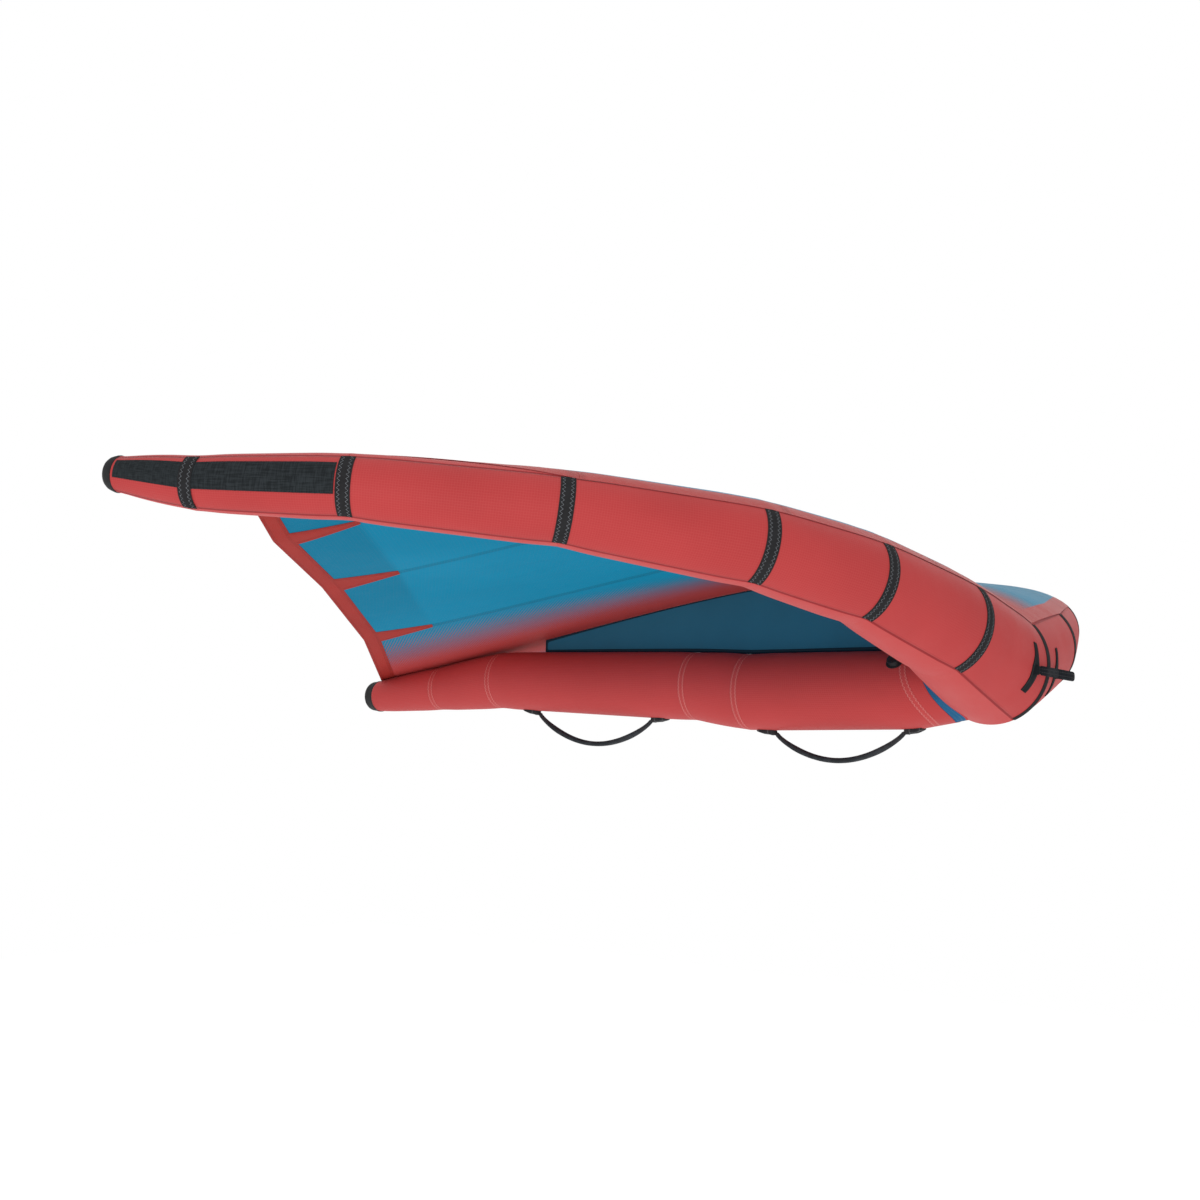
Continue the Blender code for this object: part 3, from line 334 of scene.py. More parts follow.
def close_skin(name, bm, degrees):
    """Join a rolled grid along its long edges, fill both ends and turn it outwards."""
    bmesh.ops.remove_doubles(bm, verts=bm.verts, dist=0.00005)
    bmesh.ops.holes_fill(bm, edges=[edge for edge in bm.edges if edge.is_boundary], sides=0)
    bmesh.ops.recalc_face_normals(bm, faces=bm.faces)
    return round_off(to_object(name, bm), degrees)


def dress(thing, look, nodes=(), body="wing"):
    """Give a piece its finish, hide the CAD nodes it stands for, and tie it to a body."""
    thing.data.materials.clear()
    thing.data.materials.append(look)
    if nodes:
        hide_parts(*nodes)
    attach(thing, body)


# %% [markdown]
# ## Sailcloth and what shows on it
#
# The tubes are woven polyester. Close up it has a fine weave with a thicker thread every five
# millimetres, and it is a little paler and duller where hands and salt have worn it. Black tape
# is sewn over the joints with two rows of zigzag stitches. All of this is drawn by nodes from
# the flat UV map. Bump gives it relief that catches the light.

# %% Cloth, its threads and its stitches
RIP_WIDTH = 0.0006


class Cloth(Finish):
    """Cloth knows its flat place in metres, and its threads are drawn there."""

    def __init__(self, name, colour, roughness, shine=0.18):
        super().__init__(name, colour, roughness, shine)
        self.place = self.add("UVMap", uv_map="cloth").outputs[0]
        self.x, self.y = self.parts(self.place)[:2]

    def mark(self, word="seam"):
        """A distance that lay_cloth stored on the mesh."""
        return self.add("Attribute", attribute_name=word).outputs["Fac"]

    def cloud(self, scale, detail=3.0):
        return self.mottle(self.place, scale, detail)

    def streaks(self, stretch, detail=2.0):
        """Mottling that is drawn out along one way of the cloth."""
        made = self.add("Mapping")
        self.feed(stretch, made.inputs["Scale"])
        self.feed(self.place, made.inputs["Vector"])
        return self.mottle(made.outputs[0], 1.0, detail)

    def worn(self, scale, first, second, full=0.7):
        """Begin the body as a cloudy mix of two colours."""
        self.body = self.mix(self.fade(self.cloud(scale), 0.3, full), first, second)

    def zigzag(self, along, across, at, pitch, height, thread):
        """1 on a zigzag thread that runs along the cloth."""
        wave = self.calc("PINGPONG", along, pitch / 2)
        middle = self.calc("MULTIPLY_ADD", wave, height / (pitch / 2), at - height / 2)
        away = self.calc("ABSOLUTE", self.calc("SUBTRACT", across, middle))
        return self.fade(away, thread * 0.5, thread, 1.0, 0.0)

    def run_stitch(self, along, across, at, pitch, thread):
        """1 on a straight row of stitches."""
        away = self.calc("ABSOLUTE", self.calc("SUBTRACT", across, at))
        gap = self.calc("PINGPONG", along, pitch / 2)
        return self.times(self.fade(away, thread * 0.5, thread, 1.0, 0.0), self.fade(gap, pitch * 0.08, pitch * 0.14))

    def ripstop(self, colour, pitch=0.005, amount=0.10):
        """A faint grid of thicker threads."""
        grid = self.calc("MAXIMUM", *(self.lines(way, pitch, RIP_WIDTH) for way in (self.x, self.y)))
        self.paint(grid, colour, amount)
        return grid

    def weave(self, pitch=0.0012, depth=0.00008):
        """Relief of the over-and-under threads of a plain weave."""
        warp, weft = (self.calc("SINE", self.times(way, math.tau / pitch)) for way in (self.x, self.y))
        self.carve(self.calc("MULTIPLY_ADD", self.times(warp, weft), 0.5, 0.5), depth)

    def upper_sheen(self, below, above):
        """The coated outer face, which looks up, shines more at a flat angle than the inner face."""
        rise = self.parts(self.add("NewGeometry").outputs["Normal"])[2]
        self.set("Sheen Weight", self.fade(rise, 0.15, 0.75, below, above))
        self.set("Sheen Roughness", 0.4)


# %% Red sailcloth of the leading edge
RED = (0.495, 0.051, 0.052)
RED_LINE = (0.280, 0.016, 0.020)
# Painted highlight: a paler red for the back strips of the tube.
RED_BACK_HIGHLIGHT = (0.540, 0.066, 0.066)
RED_THREAD = (0.75, 0.20, 0.18)


def tube_sailcloth():
    """Front and back of the tube meet in a grooved seam; the back is a paler red, a painted highlight."""
    cloth = Cloth("red_tube_sailcloth", RED, 0.55, 0.11)
    edge = cloth.mark()
    cloth.worn(4.0, RED, (0.455, 0.046, 0.047))
    # Painted highlight: the back strips, above and below the long seams, are painted a paler red.
    cloth.body = cloth.mix(cloth.fade(edge, -0.002, 0.0), RED_BACK_HIGHLIGHT, cloth.body)
    cloth.ripstop(RED_THREAD)
    groove = cloth.fade(cloth.calc("ABSOLUTE", edge), 0.0018, 0.0040, 1.0, 0.0)
    cloth.paint(groove, RED_LINE, 0.92)
    cloth.paint(cloth.run_stitch(cloth.y, edge, 0.006, 0.006, 0.0011), (0.36, 0.04, 0.04), 0.5)
    cloth.set("Roughness", cloth.fade(cloth.cloud(9.0), 0.2, 0.8, 0.48, 0.62))
    cloth.weave()
    cloth.carve(cloth.calc("SUBTRACT", 1.0, groove), 0.0012)
    cloth.carve(cloth.cloud(26.0, 2.0), 0.0009)
    cloth.upper_sheen(0.03, 0.16)
    return cloth.done()


red_tube = tube_sailcloth()
print("finish", red_tube.name, "nodes", len(red_tube.node_tree.nodes))

# %% [markdown]
# ## The leading edge
#
# The leading edge is a chain of straight, slightly tapered tubes. Each joint is cut on a mitre,
# which bends the chain back and up towards the tip. The joints pull in a little and the cloth
# between them swells, because air pushes it out and the stitches hold it back. A point on the
# tube is given by a station, which counts joints from the nose, and by an angle up from the
# front. The right half, which the camera sees from close by, has negative stations.

# %% The chain of joints
PANEL_LENGTHS = (0.297, 0.313, 0.278, 0.395, 0.405, 0.312, 0.176)
PANEL_SWEEPS = (1.3, 11.5, 24.9, 39.3, 52.2, 64.8, 70.7)
PANEL_RISES = (13.6, 12.8, 9.2, 5.8, 3.8, 1.4, 7.0)
JOINT_DIAMETERS = (0.278, 0.234, 0.192, 0.172, 0.144, 0.128, 0.108, 0.072)
LAST_JOINT = len(PANEL_LENGTHS)
SWELL = 0.0022
SWELL_REACH = 0.045
HALVINGS = 40


def panel_run(index):
    """The panel's centre line, from its inner joint to its outer one."""
    sweep, rise = math.radians(PANEL_SWEEPS[index]), math.radians(PANEL_RISES[index])
    flat = math.cos(rise)
    return PANEL_LENGTHS[index] * Vector((math.cos(sweep) * flat, math.sin(sweep) * flat, math.sin(rise)))


def lay_out_joints():
    """Centre, forward spoke, upward spoke and radius of each joint of the left half."""
    runs = [panel_run(k) for k in range(LAST_JOINT)]
    centre = Vector((0, 0, 0))
    joints = []
    for k, diameter in enumerate(JOINT_DIAMETERS):
        along = runs[min(k, len(runs) - 1)].normalized()
        if k == 0:
            along = Vector((1, 0, 0))
        elif k < len(runs):
            along = (runs[k - 1].normalized() + along).normalized()
        up = (Vector((0, 0, 1)) - along.z * along).normalized()
        joints.append((centre.copy(), along.cross(up), up, diameter / 2))
        if k < len(runs):
            centre = centre + runs[k]
    return joints


JOINTS = lay_out_joints()


# %% A point on the tube
def swell(share, length):
    """How far the cloth stands out between two joints."""
    near = min(share, 1.0 - share) * length
    return SWELL * (1.0 - math.exp(-((near / SWELL_REACH) ** 2)))


def tube_point(station, degrees, lift=0.0):
    """A point on the leading edge, moved to its place in the frame."""
    index = min(int(abs(station)), LAST_JOINT - 1)
    share = abs(station) - index
    turn = math.radians(degrees)
    reach = lift + swell(share, PANEL_LENGTHS[index])
    ends = []
    for centre, front, up, radius in JOINTS[index:index + 2]:
        ends.append(centre + (radius + reach) * (math.cos(turn) * front + math.sin(turn) * up))
    point = ends[0].lerp(ends[1], share)
    if station < 0:
        point.x = -point.x
    return point + NOSE


def between(value, places, values):
    """Straight-line reading of a table."""
    for k in range(len(places) - 1):
        if value <= places[k + 1] or k == len(places) - 2:
            share = (value - places[k]) / (places[k + 1] - places[k])
            return values[k] + share * (values[k + 1] - values[k])


def settle(low, high, below):
    """Halve the range again and again to find where below(place) stops being true."""
    for _ in range(HALVINGS):
        middle = (low + high) / 2
        if below(middle):
            low = middle
        else:
            high = middle
    return low


def tube_radius(station):
    return between(abs(station), range(len(JOINTS)), [joint[3] for joint in JOINTS])


# %% The two long seams
JOINT_STATIONS = range(len(JOINT_DIAMETERS))
TOP_SEAM_DEGREES = (43.6, 45.6, 48.0, 50.0, 48.5, 53.0, 55.0, 55.0)
LOW_SEAM_DEGREES = (-66.0, -64.0, -67.0, -71.0, -72.0, -70.5, -71.4, -71.4)


def front_edge_distance(station, degrees):
    """Distance along the cloth to the nearer long seam, positive on the front panel."""
    top = between(abs(station), JOINT_STATIONS, TOP_SEAM_DEGREES)
    low = between(abs(station), JOINT_STATIONS, LOW_SEAM_DEGREES)
    inside = min(top - degrees, degrees - low)
    return math.radians(inside) * tube_radius(station)


# %% Seven rolled tubes a side
AROUND = 112
SIDES = (("left", 1), ("right", -1))
CLOTH = 0.0012
JOINT_GAP = 0.0006
ROW_PITCH = 0.014


def round_tube(u):
    """Degrees round the leading edge; the sewn line lies behind and below."""
    return 225.0 - 360.0 * u


def roll_tube(word, side, k):
    """One tube of the chain, rolled from a flat cut."""

    def station(v):
        return side * (k + JOINT_GAP + v * (1.0 - 2 * JOINT_GAP))

    def surface(u, v, lift):
        return tube_point(station(v), round_tube(u), lift)

    def seam(u, v):
        return front_edge_distance(station(v), round_tube(u))

    girth = math.pi * (JOINT_DIAMETERS[k] + JOINT_DIAMETERS[k + 1]) / 2
    size = (girth, PANEL_LENGTHS[k])
    cuts = (AROUND, max(16, round(PANEL_LENGTHS[k] / ROW_PITCH)))
    tube = lay_cloth(f"edge_tube_{word}_{k + 1}", cuts, size, surface, -CLOTH, CLOTH, closed=True, marks={"seam": seam})
    dress(tube, red_tube, (f"le_panel_{word}_{k + 1}",))


for word, side in SIDES:
    for k in range(LAST_JOINT):
        roll_tube(word, side, k)
print("edge tubes", len(SIDES) * LAST_JOINT)

# %% [markdown]
# ## Black tape over the joints
#
# A wide woven tape covers each joint on the front of the tube, where it rubs and takes load.
# Two rows of grey zigzag hold it, one near each edge. The tape ends in the long seams. At the
# nose the tape is the narrowest part of the picture, because the camera looks along it.

# %% Tape with two zigzag rows
BLACK = (0.017, 0.0165, 0.0175)
TAPE_WIDTH = 0.0285
NOSE_TAPE_WIDTH = 0.022
TAPE_LIFT = 0.0003
OVER_PATCH_LIFT = 0.0016


def taped_cloth(name, width, thread_colour):
    """Woven tape; its flat map runs round the tube in x and across the tape in y."""
    cloth = Cloth(name, BLACK, 0.75, 0.08)
    rows = [cloth.zigzag(cloth.x, cloth.y, at, 0.0086, 0.0054, 0.00055) for at in (width * 0.22, width * 0.78)]
    thread = cloth.calc("MAXIMUM", *rows)
    cloth.worn(30.0, BLACK, (0.024, 0.024, 0.026))
    cloth.paint(cloth.lines(cloth.y, 0.0022, 0.0008), (0.034, 0.034, 0.036), 0.35)
    cloth.paint(thread, thread_colour)
    cloth.weave(0.0016, 0.00015)
    cloth.carve(thread, 0.0006)
    return cloth.done()


joint_tape = taped_cloth("black_joint_tape", TAPE_WIDTH, (0.30, 0.32, 0.35))
nose_tape = taped_cloth("black_nose_tape", NOSE_TAPE_WIDTH, (0.06, 0.06, 0.064))


def lay_tape(name, station, width, lift):
    """A strip of tape over one joint, from long seam to long seam."""
    top = between(abs(station), JOINT_STATIONS, TOP_SEAM_DEGREES) - 1.0
    low = between(abs(station), JOINT_STATIONS, LOW_SEAM_DEGREES) + 0.5
    side = -1 if station < 0 else 1

    def surface(u, v, away):
        across = (v - 0.5) * width
        if station == 0:
            place = across / PANEL_LENGTHS[0]
        else:
            beside = PANEL_LENGTHS[abs(station)] if across > 0 else PANEL_LENGTHS[abs(station) - 1]
            place = side * (abs(station) + across / beside)
        return tube_point(place, low + u * (top - low), away)

    arc = math.radians(top - low) * tube_radius(station)
    return lay_cloth(name, (72, 8), (arc, width), surface, lift, 0.0011)


tape = lay_tape("joint_tape_nose", 0, NOSE_TAPE_WIDTH, TAPE_LIFT)
dress(tape, nose_tape, ("le_seam_tape_centre",))
for word, side in SIDES:
    for k in range(1, LAST_JOINT):
        lift = OVER_PATCH_LIFT if k == LAST_JOINT - 1 else TAPE_LIFT
        tape = lay_tape(f"joint_tape_{word}_{k}", side * k, TAPE_WIDTH, lift)
        dress(tape, joint_tape, (f"le_seam_tape_{word}_{k}",))
print("tapes", 2 * LAST_JOINT - 1)

# %% [markdown]
# ## Scuff patches and tip caps
#
# The outer ends drag over sand and board, so heavy charcoal cloth is sewn over their front. Its
# threads are thick enough to see. A moulded rubber cap closes each tip: it is a rounded profile
# spun about the tube's axis, with a lip where it grips the cloth.

# %% Coarse charcoal cloth
def scuff_cloth():
    """Long soft streaks both ways give the slubs of a coarse yarn."""
    cloth = Cloth("charcoal_scuff_cloth", (0.020, 0.024, 0.027), 0.8, 0.08)
    warp, weft = cloth.streaks((420.0, 36.0, 1.0)), cloth.streaks((36.0, 420.0, 1.0))
    slub = cloth.times(cloth.calc("ADD", warp, weft), 0.5)
    cloth.body = cloth.mix(cloth.fade(slub, 0.38, 0.62), (0.014, 0.017, 0.019), (0.030, 0.036, 0.040))
    cloth.carve(slub, 0.0006)
    cloth.weave(0.0018, 0.0002)
    return cloth.done()


charcoal = scuff_cloth()
PATCH_EDGES = (5.055, 6.0, 6.966)
PATCH_TOPS = (34.0, 36.0, 38.0)
PATCH_LOWS = (-23.0, -22.0, -18.0)
PATCH_WIDTH = 0.060


def lay_patch(name, side):
    """The patch runs from the tape of the fifth joint to the tip, and narrows with the tube."""
    first, joint, last = PATCH_EDGES

    def surface(u, v, lift):
        station = first + v * (last - first)
        top = between(station, PATCH_EDGES, PATCH_TOPS)
        low = between(station, PATCH_EDGES, PATCH_LOWS)
        return tube_point(side * station, low + u * (top - low), lift)

    length = (joint - first) * PANEL_LENGTHS[5] + (last - joint) * PANEL_LENGTHS[6]
    return lay_cloth(name, (24, 60), (PATCH_WIDTH, length), surface, TAPE_LIFT)


for word, side in SIDES:
    dress(lay_patch(f"scuff_cloth_{word}", side), charcoal, (f"scuff_patch_{word}",))


# %% Rubber with a moulded grain
def moulded(name, colour, roughness, grain):
    """Black rubber or plastic with a fine cast grain and dulled high spots."""
    finish = Finish(name, colour, roughness, 0.2)
    place = finish.add("TexCoord").outputs["Object"]
    cloud = finish.mottle(place, 60.0)
    finish.paint(finish.fade(cloud, 0.45, 0.8), [c * 1.5 + 0.006 for c in colour])
    finish.set("Roughness", finish.fade(cloud, 0.3, 0.8, roughness - 0.06, roughness + 0.10))
    finish.carve(finish.mottle(place, 900.0, 1.0), grain)
    return finish.done()


rubber = moulded("black_rubber_grain", (0.017, 0.017, 0.018), 0.60, 0.0002)


# %% Caps spun from a profile
def spin_profile(name, profile, centre, axis, start, ring=False):
    """Spin (radius, height) points about an axis; a ring's profile closes on itself."""
    bm = bmesh.new()
    axis = axis.normalized()
    verts = [bm.verts.new(centre + start * radius + axis * height) for radius, height in profile]
    edges = [bm.edges.new(pair) for pair in zip(verts, verts[1:] + verts[:1] * ring)]
    bmesh.ops.spin(bm, geom=verts + edges, cent=centre, axis=axis, steps=64, angle=math.tau, use_merge=True)
    bmesh.ops.remove_doubles(bm, verts=bm.verts, dist=0.00002)
    bmesh.ops.recalc_face_normals(bm, faces=bm.faces)
    return round_off(to_object(name, bm), 35.0)


TIP_CAP_LENGTH = 0.030
CAP_SHARES = ((0.0, 0.0), (1.0, 0.0), (1.035, 0.03), (1.045, 0.10), (1.035, 0.20), (1.0, 0.24), (0.985, 0.40),
              (0.93, 0.58), (0.82, 0.76), (0.64, 0.90), (0.40, 0.975), (0.18, 1.0), (0.0, 1.0))
tip_centre, tip_front, tip_up, tip_radius = JOINTS[-1]
tip_axis = panel_run(LAST_JOINT - 1).normalized()
tip_seat = tip_centre + tip_axis * 0.0003
for word, side in SIDES:
    mirror = Vector((side, 1, 1))
    profile = [(share * tip_radius, height * TIP_CAP_LENGTH) for share, height in CAP_SHARES]
    cap = spin_profile(f"edge_tip_cap_{word}", profile, tip_seat * mirror + NOSE, tip_axis * mirror, tip_front * mirror)
    dress(cap, rubber, (f"tip_cap_{word}",))
print("tip caps", [round(v, 3) for v in cap.dimensions])

# %% [markdown]
# ## The strut
#
# The strut is the second tube. It lies under the middle of the canopy, thin at the tail and
# thick behind the nose. Its joints are sewn flat, so they show only as a paler double line of
# zigzag. In front it meets the leading edge in a saddle: a blue collar is cut to the curve where
# two tubes meet, and each thread of the collar ends where it reaches the leading edge.

# %% Shape of the strut
STRUT_AFTS = (0.020, 0.180, 0.645, 0.810, 1.485, 1.720, 1.987)
STRUT_HEIGHTS = (-0.0405, -0.0560, -0.0615, -0.0460, -0.0270, -0.0497, -0.0749)
STRUT_DIAMETERS = (0.161, 0.190, 0.199, 0.182, 0.164, 0.1316, 0.094)
STRUT_SWELL = 0.0018
STRUT_SWELL_REACH = 0.04


def strut_axis(aft):
    """Height of the centre line and the radius at a place behind the nose."""
    return between(aft, STRUT_AFTS, STRUT_HEIGHTS), between(aft, STRUT_AFTS, STRUT_DIAMETERS) / 2


def strut_top(aft):
    height, radius = strut_axis(aft)
    return height + radius


def strut_bottom(aft):
    height, radius = strut_axis(aft)
    return height - radius


def strut_point(aft, degrees, lift=0.0):
    """A point on the strut; degrees count from the left side over the top."""
    height, radius = strut_axis(aft)
    turn = math.radians(degrees)
    return Vector(((radius + lift) * math.cos(turn), aft, height + (radius + lift) * math.sin(turn))) + NOSE


# %% Saddle where the strut meets the leading edge
def edge_clearance(point):
    """Distance of a point, given about the nose, from the leading edge near its middle."""
    share = abs(point.x) / JOINTS[1][0].x
    centre = JOINTS[0][0].lerp(JOINTS[1][0], share)
    radius = JOINTS[0][3] + share * (JOINTS[1][3] - JOINTS[0][3])
    return math.hypot(point.y - centre.y, point.z - centre.z) - radius


def saddle_aft(degrees, clearance):
    """Where a thread of the strut lies this far from the leading edge."""
    return settle(0.02, 0.40, lambda aft: edge_clearance(strut_point(aft, degrees) - NOSE) < clearance)


print("collar starts", round(saddle_aft(-90, 0.0), 4), "to", round(saddle_aft(0, 0.0), 4))

# %% Strut cloth with sewn-flat joints
def strut_sailcloth():
    """Plain red cloth; a pale zigzag row lies on each side of a joint, and its raised hem has a painted highlight."""
    cloth = Cloth("red_strut_sailcloth", RED, 0.55, 0.11)
    edge = cloth.calc("ABSOLUTE", cloth.mark())
    cloth.worn(3.5, RED, (0.460, 0.047, 0.047))
    cloth.ripstop(RED_THREAD)
    hem_and_highlight = cloth.fade(edge, 0.0085, 0.0095, 1.0, 0.0)
    # Painted highlight: the raised hem beside each joint is tinted a little paler.
    cloth.paint(hem_and_highlight, (0.72, 0.16, 0.15), 0.10)
    thread = cloth.zigzag(cloth.x, edge, 0.0062, 0.009, 0.0036, 0.0012)
    cloth.paint(thread, (0.78, 0.27, 0.25), 0.75)
    cloth.weave()
    cloth.carve(hem_and_highlight, 0.0007)
    cloth.carve(thread, 0.0005)
    cloth.carve(cloth.cloud(24.0, 2.0), 0.0008)
    cloth.set("Sheen Weight", 0.03)
    return cloth.done()


red_strut = strut_sailcloth()


# %% Five rolled tubes of the strut
def round_strut(u):
    """Degrees round the strut; the sewn line lies on top."""
    return 90.0 + 360.0 * u


def roll_strut(k, first, last, starts=None, rings=None):
    """One tube of the strut.

    starts holds, for each half degree, the front end of a thread where it isn't straight, and
    rings the place of the sewn ring behind it.
    """
    length = last - first

    def place(u, v):
        """Front end of this thread, and how far aft the point lies."""
        begin = starts[round(720 * u)] if starts else first
        return begin, begin + v * (last - begin)

    def surface(u, v, lift):
        begin, aft = place(u, v)
        near = last - aft if starts else min(aft - begin, last - aft)
        puff = STRUT_SWELL * (1.0 - math.exp(-((near / STRUT_SWELL_REACH) ** 2)))
        return strut_point(aft, round_strut(u), lift + puff)

    def seam(u, v):
        if not starts:
            return min(v, 1.0 - v) * length
        aft = place(u, v)[1]
        return last - aft if aft > RING_REACH else aft - rings[round(720 * u)]

    girth = math.pi * between((first + last) / 2, STRUT_AFTS, STRUT_DIAMETERS)
    size = (girth, length)
    cuts = (128, max(16, round(length / 0.012)))
    tube = lay_cloth(f"strut_tube_{k + 1}", cuts, size, surface, -CLOTH, CLOTH, closed=True, marks={"seam": seam})
    dress(tube, red_strut, (f"strut_panel_{k + 1}",))


def saddle_ring(clearance):
    """The saddle line at this clearance, for each half degree; below is 1 under the strut."""
    ring = []
    for step in range(721):
        degrees = round_strut(step / 720)
        below = max(0.0, -math.sin(math.radians(degrees)))
        ring.append(saddle_aft(degrees, clearance(below)))
    return ring


COLLAR_WIDTH = 0.0165
SEAM_RING = 0.055
RING_REACH = 0.45
SEAM_GAP = 0.0002
collar_front = saddle_ring(lambda below: -0.001)
collar_rear = saddle_ring(lambda below: COLLAR_WIDTH * (0.80 + 0.40 * below))
roll_strut(0, 0.19, STRUT_AFTS[2], collar_rear, saddle_ring(lambda below: SEAM_RING))
for k in range(1, 5):
    roll_strut(k, STRUT_AFTS[k + 1] + SEAM_GAP, STRUT_AFTS[k + 2] - SEAM_GAP)


# %% Blue collar with a red welt
def collar_cloth():
    cloth = Cloth("blue_collar_cloth", (0.020, 0.110, 0.230), 0.65, 0.05)
    welt = cloth.fade(cloth.y, 0.0030, 0.0042, 1.0, 0.0)
    cloth.worn(18.0, (0.018, 0.110, 0.240), (0.024, 0.132, 0.275))
    cloth.paint(welt, (0.50, 0.05, 0.05))
    thread = cloth.calc("MAXIMUM", *(cloth.run_stitch(cloth.x, cloth.y, at, 0.005, 0.0010) for at in (0.008, 0.0135)))
    cloth.paint(thread, (0.05, 0.20, 0.36), 0.6)
    cloth.weave(depth=0.0001)
    cloth.carve(cloth.calc("MAXIMUM", welt, thread), 0.0007)
    return cloth.done()


def collar_surface(u, v, lift):
    step = round(720 * u)
    begin = collar_front[step]
    return strut_point(begin + v * (collar_rear[step] - begin), round_strut(u), lift)


collar = lay_cloth("strut_saddle_collar", (144, 10), (0.6, COLLAR_WIDTH), collar_surface, -CLOTH, CLOTH + 0.0006,
                   closed=True)
dress(collar, collar_cloth(), ("strut_collar",))

# %% End cap of the strut
CAP_SKIRT = ((0.0, 0.0), (0.0470, 0.0), (0.0480, -0.0004), (0.0480, -0.0070), (0.0486, -0.0066), (0.0486, -0.0024),
             (0.0484, 0.0), (0.0474, 0.0030), (0.0465, 0.0100))
DOME_FOOT, DOME_RADIUS, DOME_HEIGHT = 0.0180, 0.0455, 0.0240
DOME_DEGREES = 80
dome = []
for degrees in range(0, DOME_DEGREES + 1, 8):
    share = math.radians(degrees)
    rise = DOME_HEIGHT * math.sin(share) / math.sin(math.radians(DOME_DEGREES))
    dome.append((DOME_RADIUS * math.cos(share), DOME_FOOT + rise))
cap_seat = Vector((0, STRUT_AFTS[-1] + SEAM_GAP, strut_axis(STRUT_AFTS[-1])[0])) + NOSE
cap = spin_profile("strut_tail_cap", (*CAP_SKIRT, *dome, (0.0, DOME_FOOT + DOME_HEIGHT)), cap_seat,
                   Vector((0, 1, 0)), Vector((1, 0, 0)))
dress(cap, rubber, ("strut_end_cap",))
print("strut from", round(collar_rear[360], 3), "to", STRUT_AFTS[-1])

# %% [markdown]
# ## The canopy
#
# The canopy is light ripstop cloth in seven panels with seams that run from nose to tail. It is
# sewn to the top of the leading edge and leaves it as a straight line leaves a circle, then
# bends gently down to the trailing edge. One smooth curve per station does this: it starts
# along the tube's skin and arrives at the trailing edge with the slope that the photograph
# shows. Towards the tip the sewn line turns back round the tube.

# %% Trailing edge and stations of the seams
START_DEGREES = 45.7
LEAVE_DEGREES = 56.25
SEAT = 0.0012
EDGE_SPANS = (0.0, 0.420, 0.820, 1.150)
EDGE_AFTS = (1.985, 1.656, 1.414, 1.230)
EDGE_HEIGHTS = (-0.0265, 0.061, 0.153, 0.210)
EDGE_RISES = (8.9, 7.0, 4.6, 2.3)
NOSE_PULLS = (0.225, 0.180, 0.140, 0.160)
EDGE_PULLS = (0.50, 0.50, 0.45, 0.35)
TIP_STATION = 5.9
TIP_TURN = 101.25
TIP_TAB = 0.030
TIP_PULL = 0.35


def station_at(span):
    """Station where the canopy leaves the tube at this distance from the middle."""
    return settle(0.0, 6.0, lambda station: tube_point(station, LEAVE_DEGREES).x < span)


SEAMS = [station_at(span) for span in EDGE_SPANS]
print("canopy seams at stations", [round(s, 2) for s in SEAMS])


def edge_of(reach):
    """Trailing edge point of a station, and the three values that bend its curve."""
    tables = (EDGE_RISES, NOSE_PULLS, EDGE_PULLS)
    span = tube_point(reach, LEAVE_DEGREES).x
    if span <= EDGE_SPANS[-1]:
        place = Vector((span, between(span, EDGE_SPANS, EDGE_AFTS), between(span, EDGE_SPANS, EDGE_HEIGHTS)))
        return place + NOSE, [between(span, EDGE_SPANS, table) for table in tables]
    share = min(1.0, (reach - SEAMS[-1]) / (TIP_STATION - SEAMS[-1]))
    tip = tube_point(TIP_STATION, LEAVE_DEGREES + TIP_TURN, SEAT + TIP_TAB)
    place = (Vector((EDGE_SPANS[-1], EDGE_AFTS[-1], EDGE_HEIGHTS[-1])) + NOSE).lerp(tip, share)
    return place, [table[-1] + share * (end - table[-1]) for table, end in zip(tables, (0.0, TIP_PULL, TIP_PULL))]


# %% One curve per station, from the tube to the trailing edge
FRONT_STEPS = 6
CURVE_STEPS = 96
BAND = 0.060
BAND_SHARE, BAND_FRONT = 0.45, 0.026
STRUT_CLEARANCE = 0.0021
NO_FLOOR = -1.0
chords = {}


def chord(station):
    """Points of the canopy's under side at a station, and the running length at each."""
    key = round(abs(station), 6)
    if key in chords:
        return chords[key]
    turned = TIP_TURN * max(0.0, key - SEAMS[-1]) / (TIP_STATION - SEAMS[-1])
    points = []
    for k in range(FRONT_STEPS + 1):
        degrees = START_DEGREES + turned + (LEAVE_DEGREES - START_DEGREES) * k / FRONT_STEPS
        points.append(tube_point(key, degrees, SEAT))
    start = points.pop()
    leave = LEAVE_DEGREES + turned
    way = (tube_point(key, leave + 2, SEAT) - tube_point(key, leave - 2, SEAT)).normalized()
    end, (rise, nose_pull, edge_pull) = edge_of(key)
    length = (end - start).length
    slope = math.radians(rise)
    forward = Vector((start.x - end.x, start.y - end.y, 0)).normalized()
    back = forward * math.cos(slope) + Vector((0, 0, math.sin(slope)))
    controls = (start, start + nose_pull * length * way, end + edge_pull * length * back, end)
    for k in range(CURVE_STEPS + 1):
        t = k / CURVE_STEPS
        weights = ((1 - t) ** 3, 3 * t * (1 - t) ** 2, 3 * t * t * (1 - t), t ** 3)
        point = sum((w * c for w, c in zip(weights, controls)), Vector())
        aft = point.y - NOSE.y
        lowest = strut_top(aft) + STRUT_CLEARANCE + NOSE.z if aft > STRUT_AFTS[4] else NO_FLOOR
        point.z += max(0.0, lowest - point.z) * max(0.0, 1.0 - key)
        points.append(point)
    lengths = [0.0]
    for near, far in zip(points, points[1:]):
        lengths.append(lengths[-1] + (far - near).length)
    chords[key] = (points, lengths)
    return chords[key]


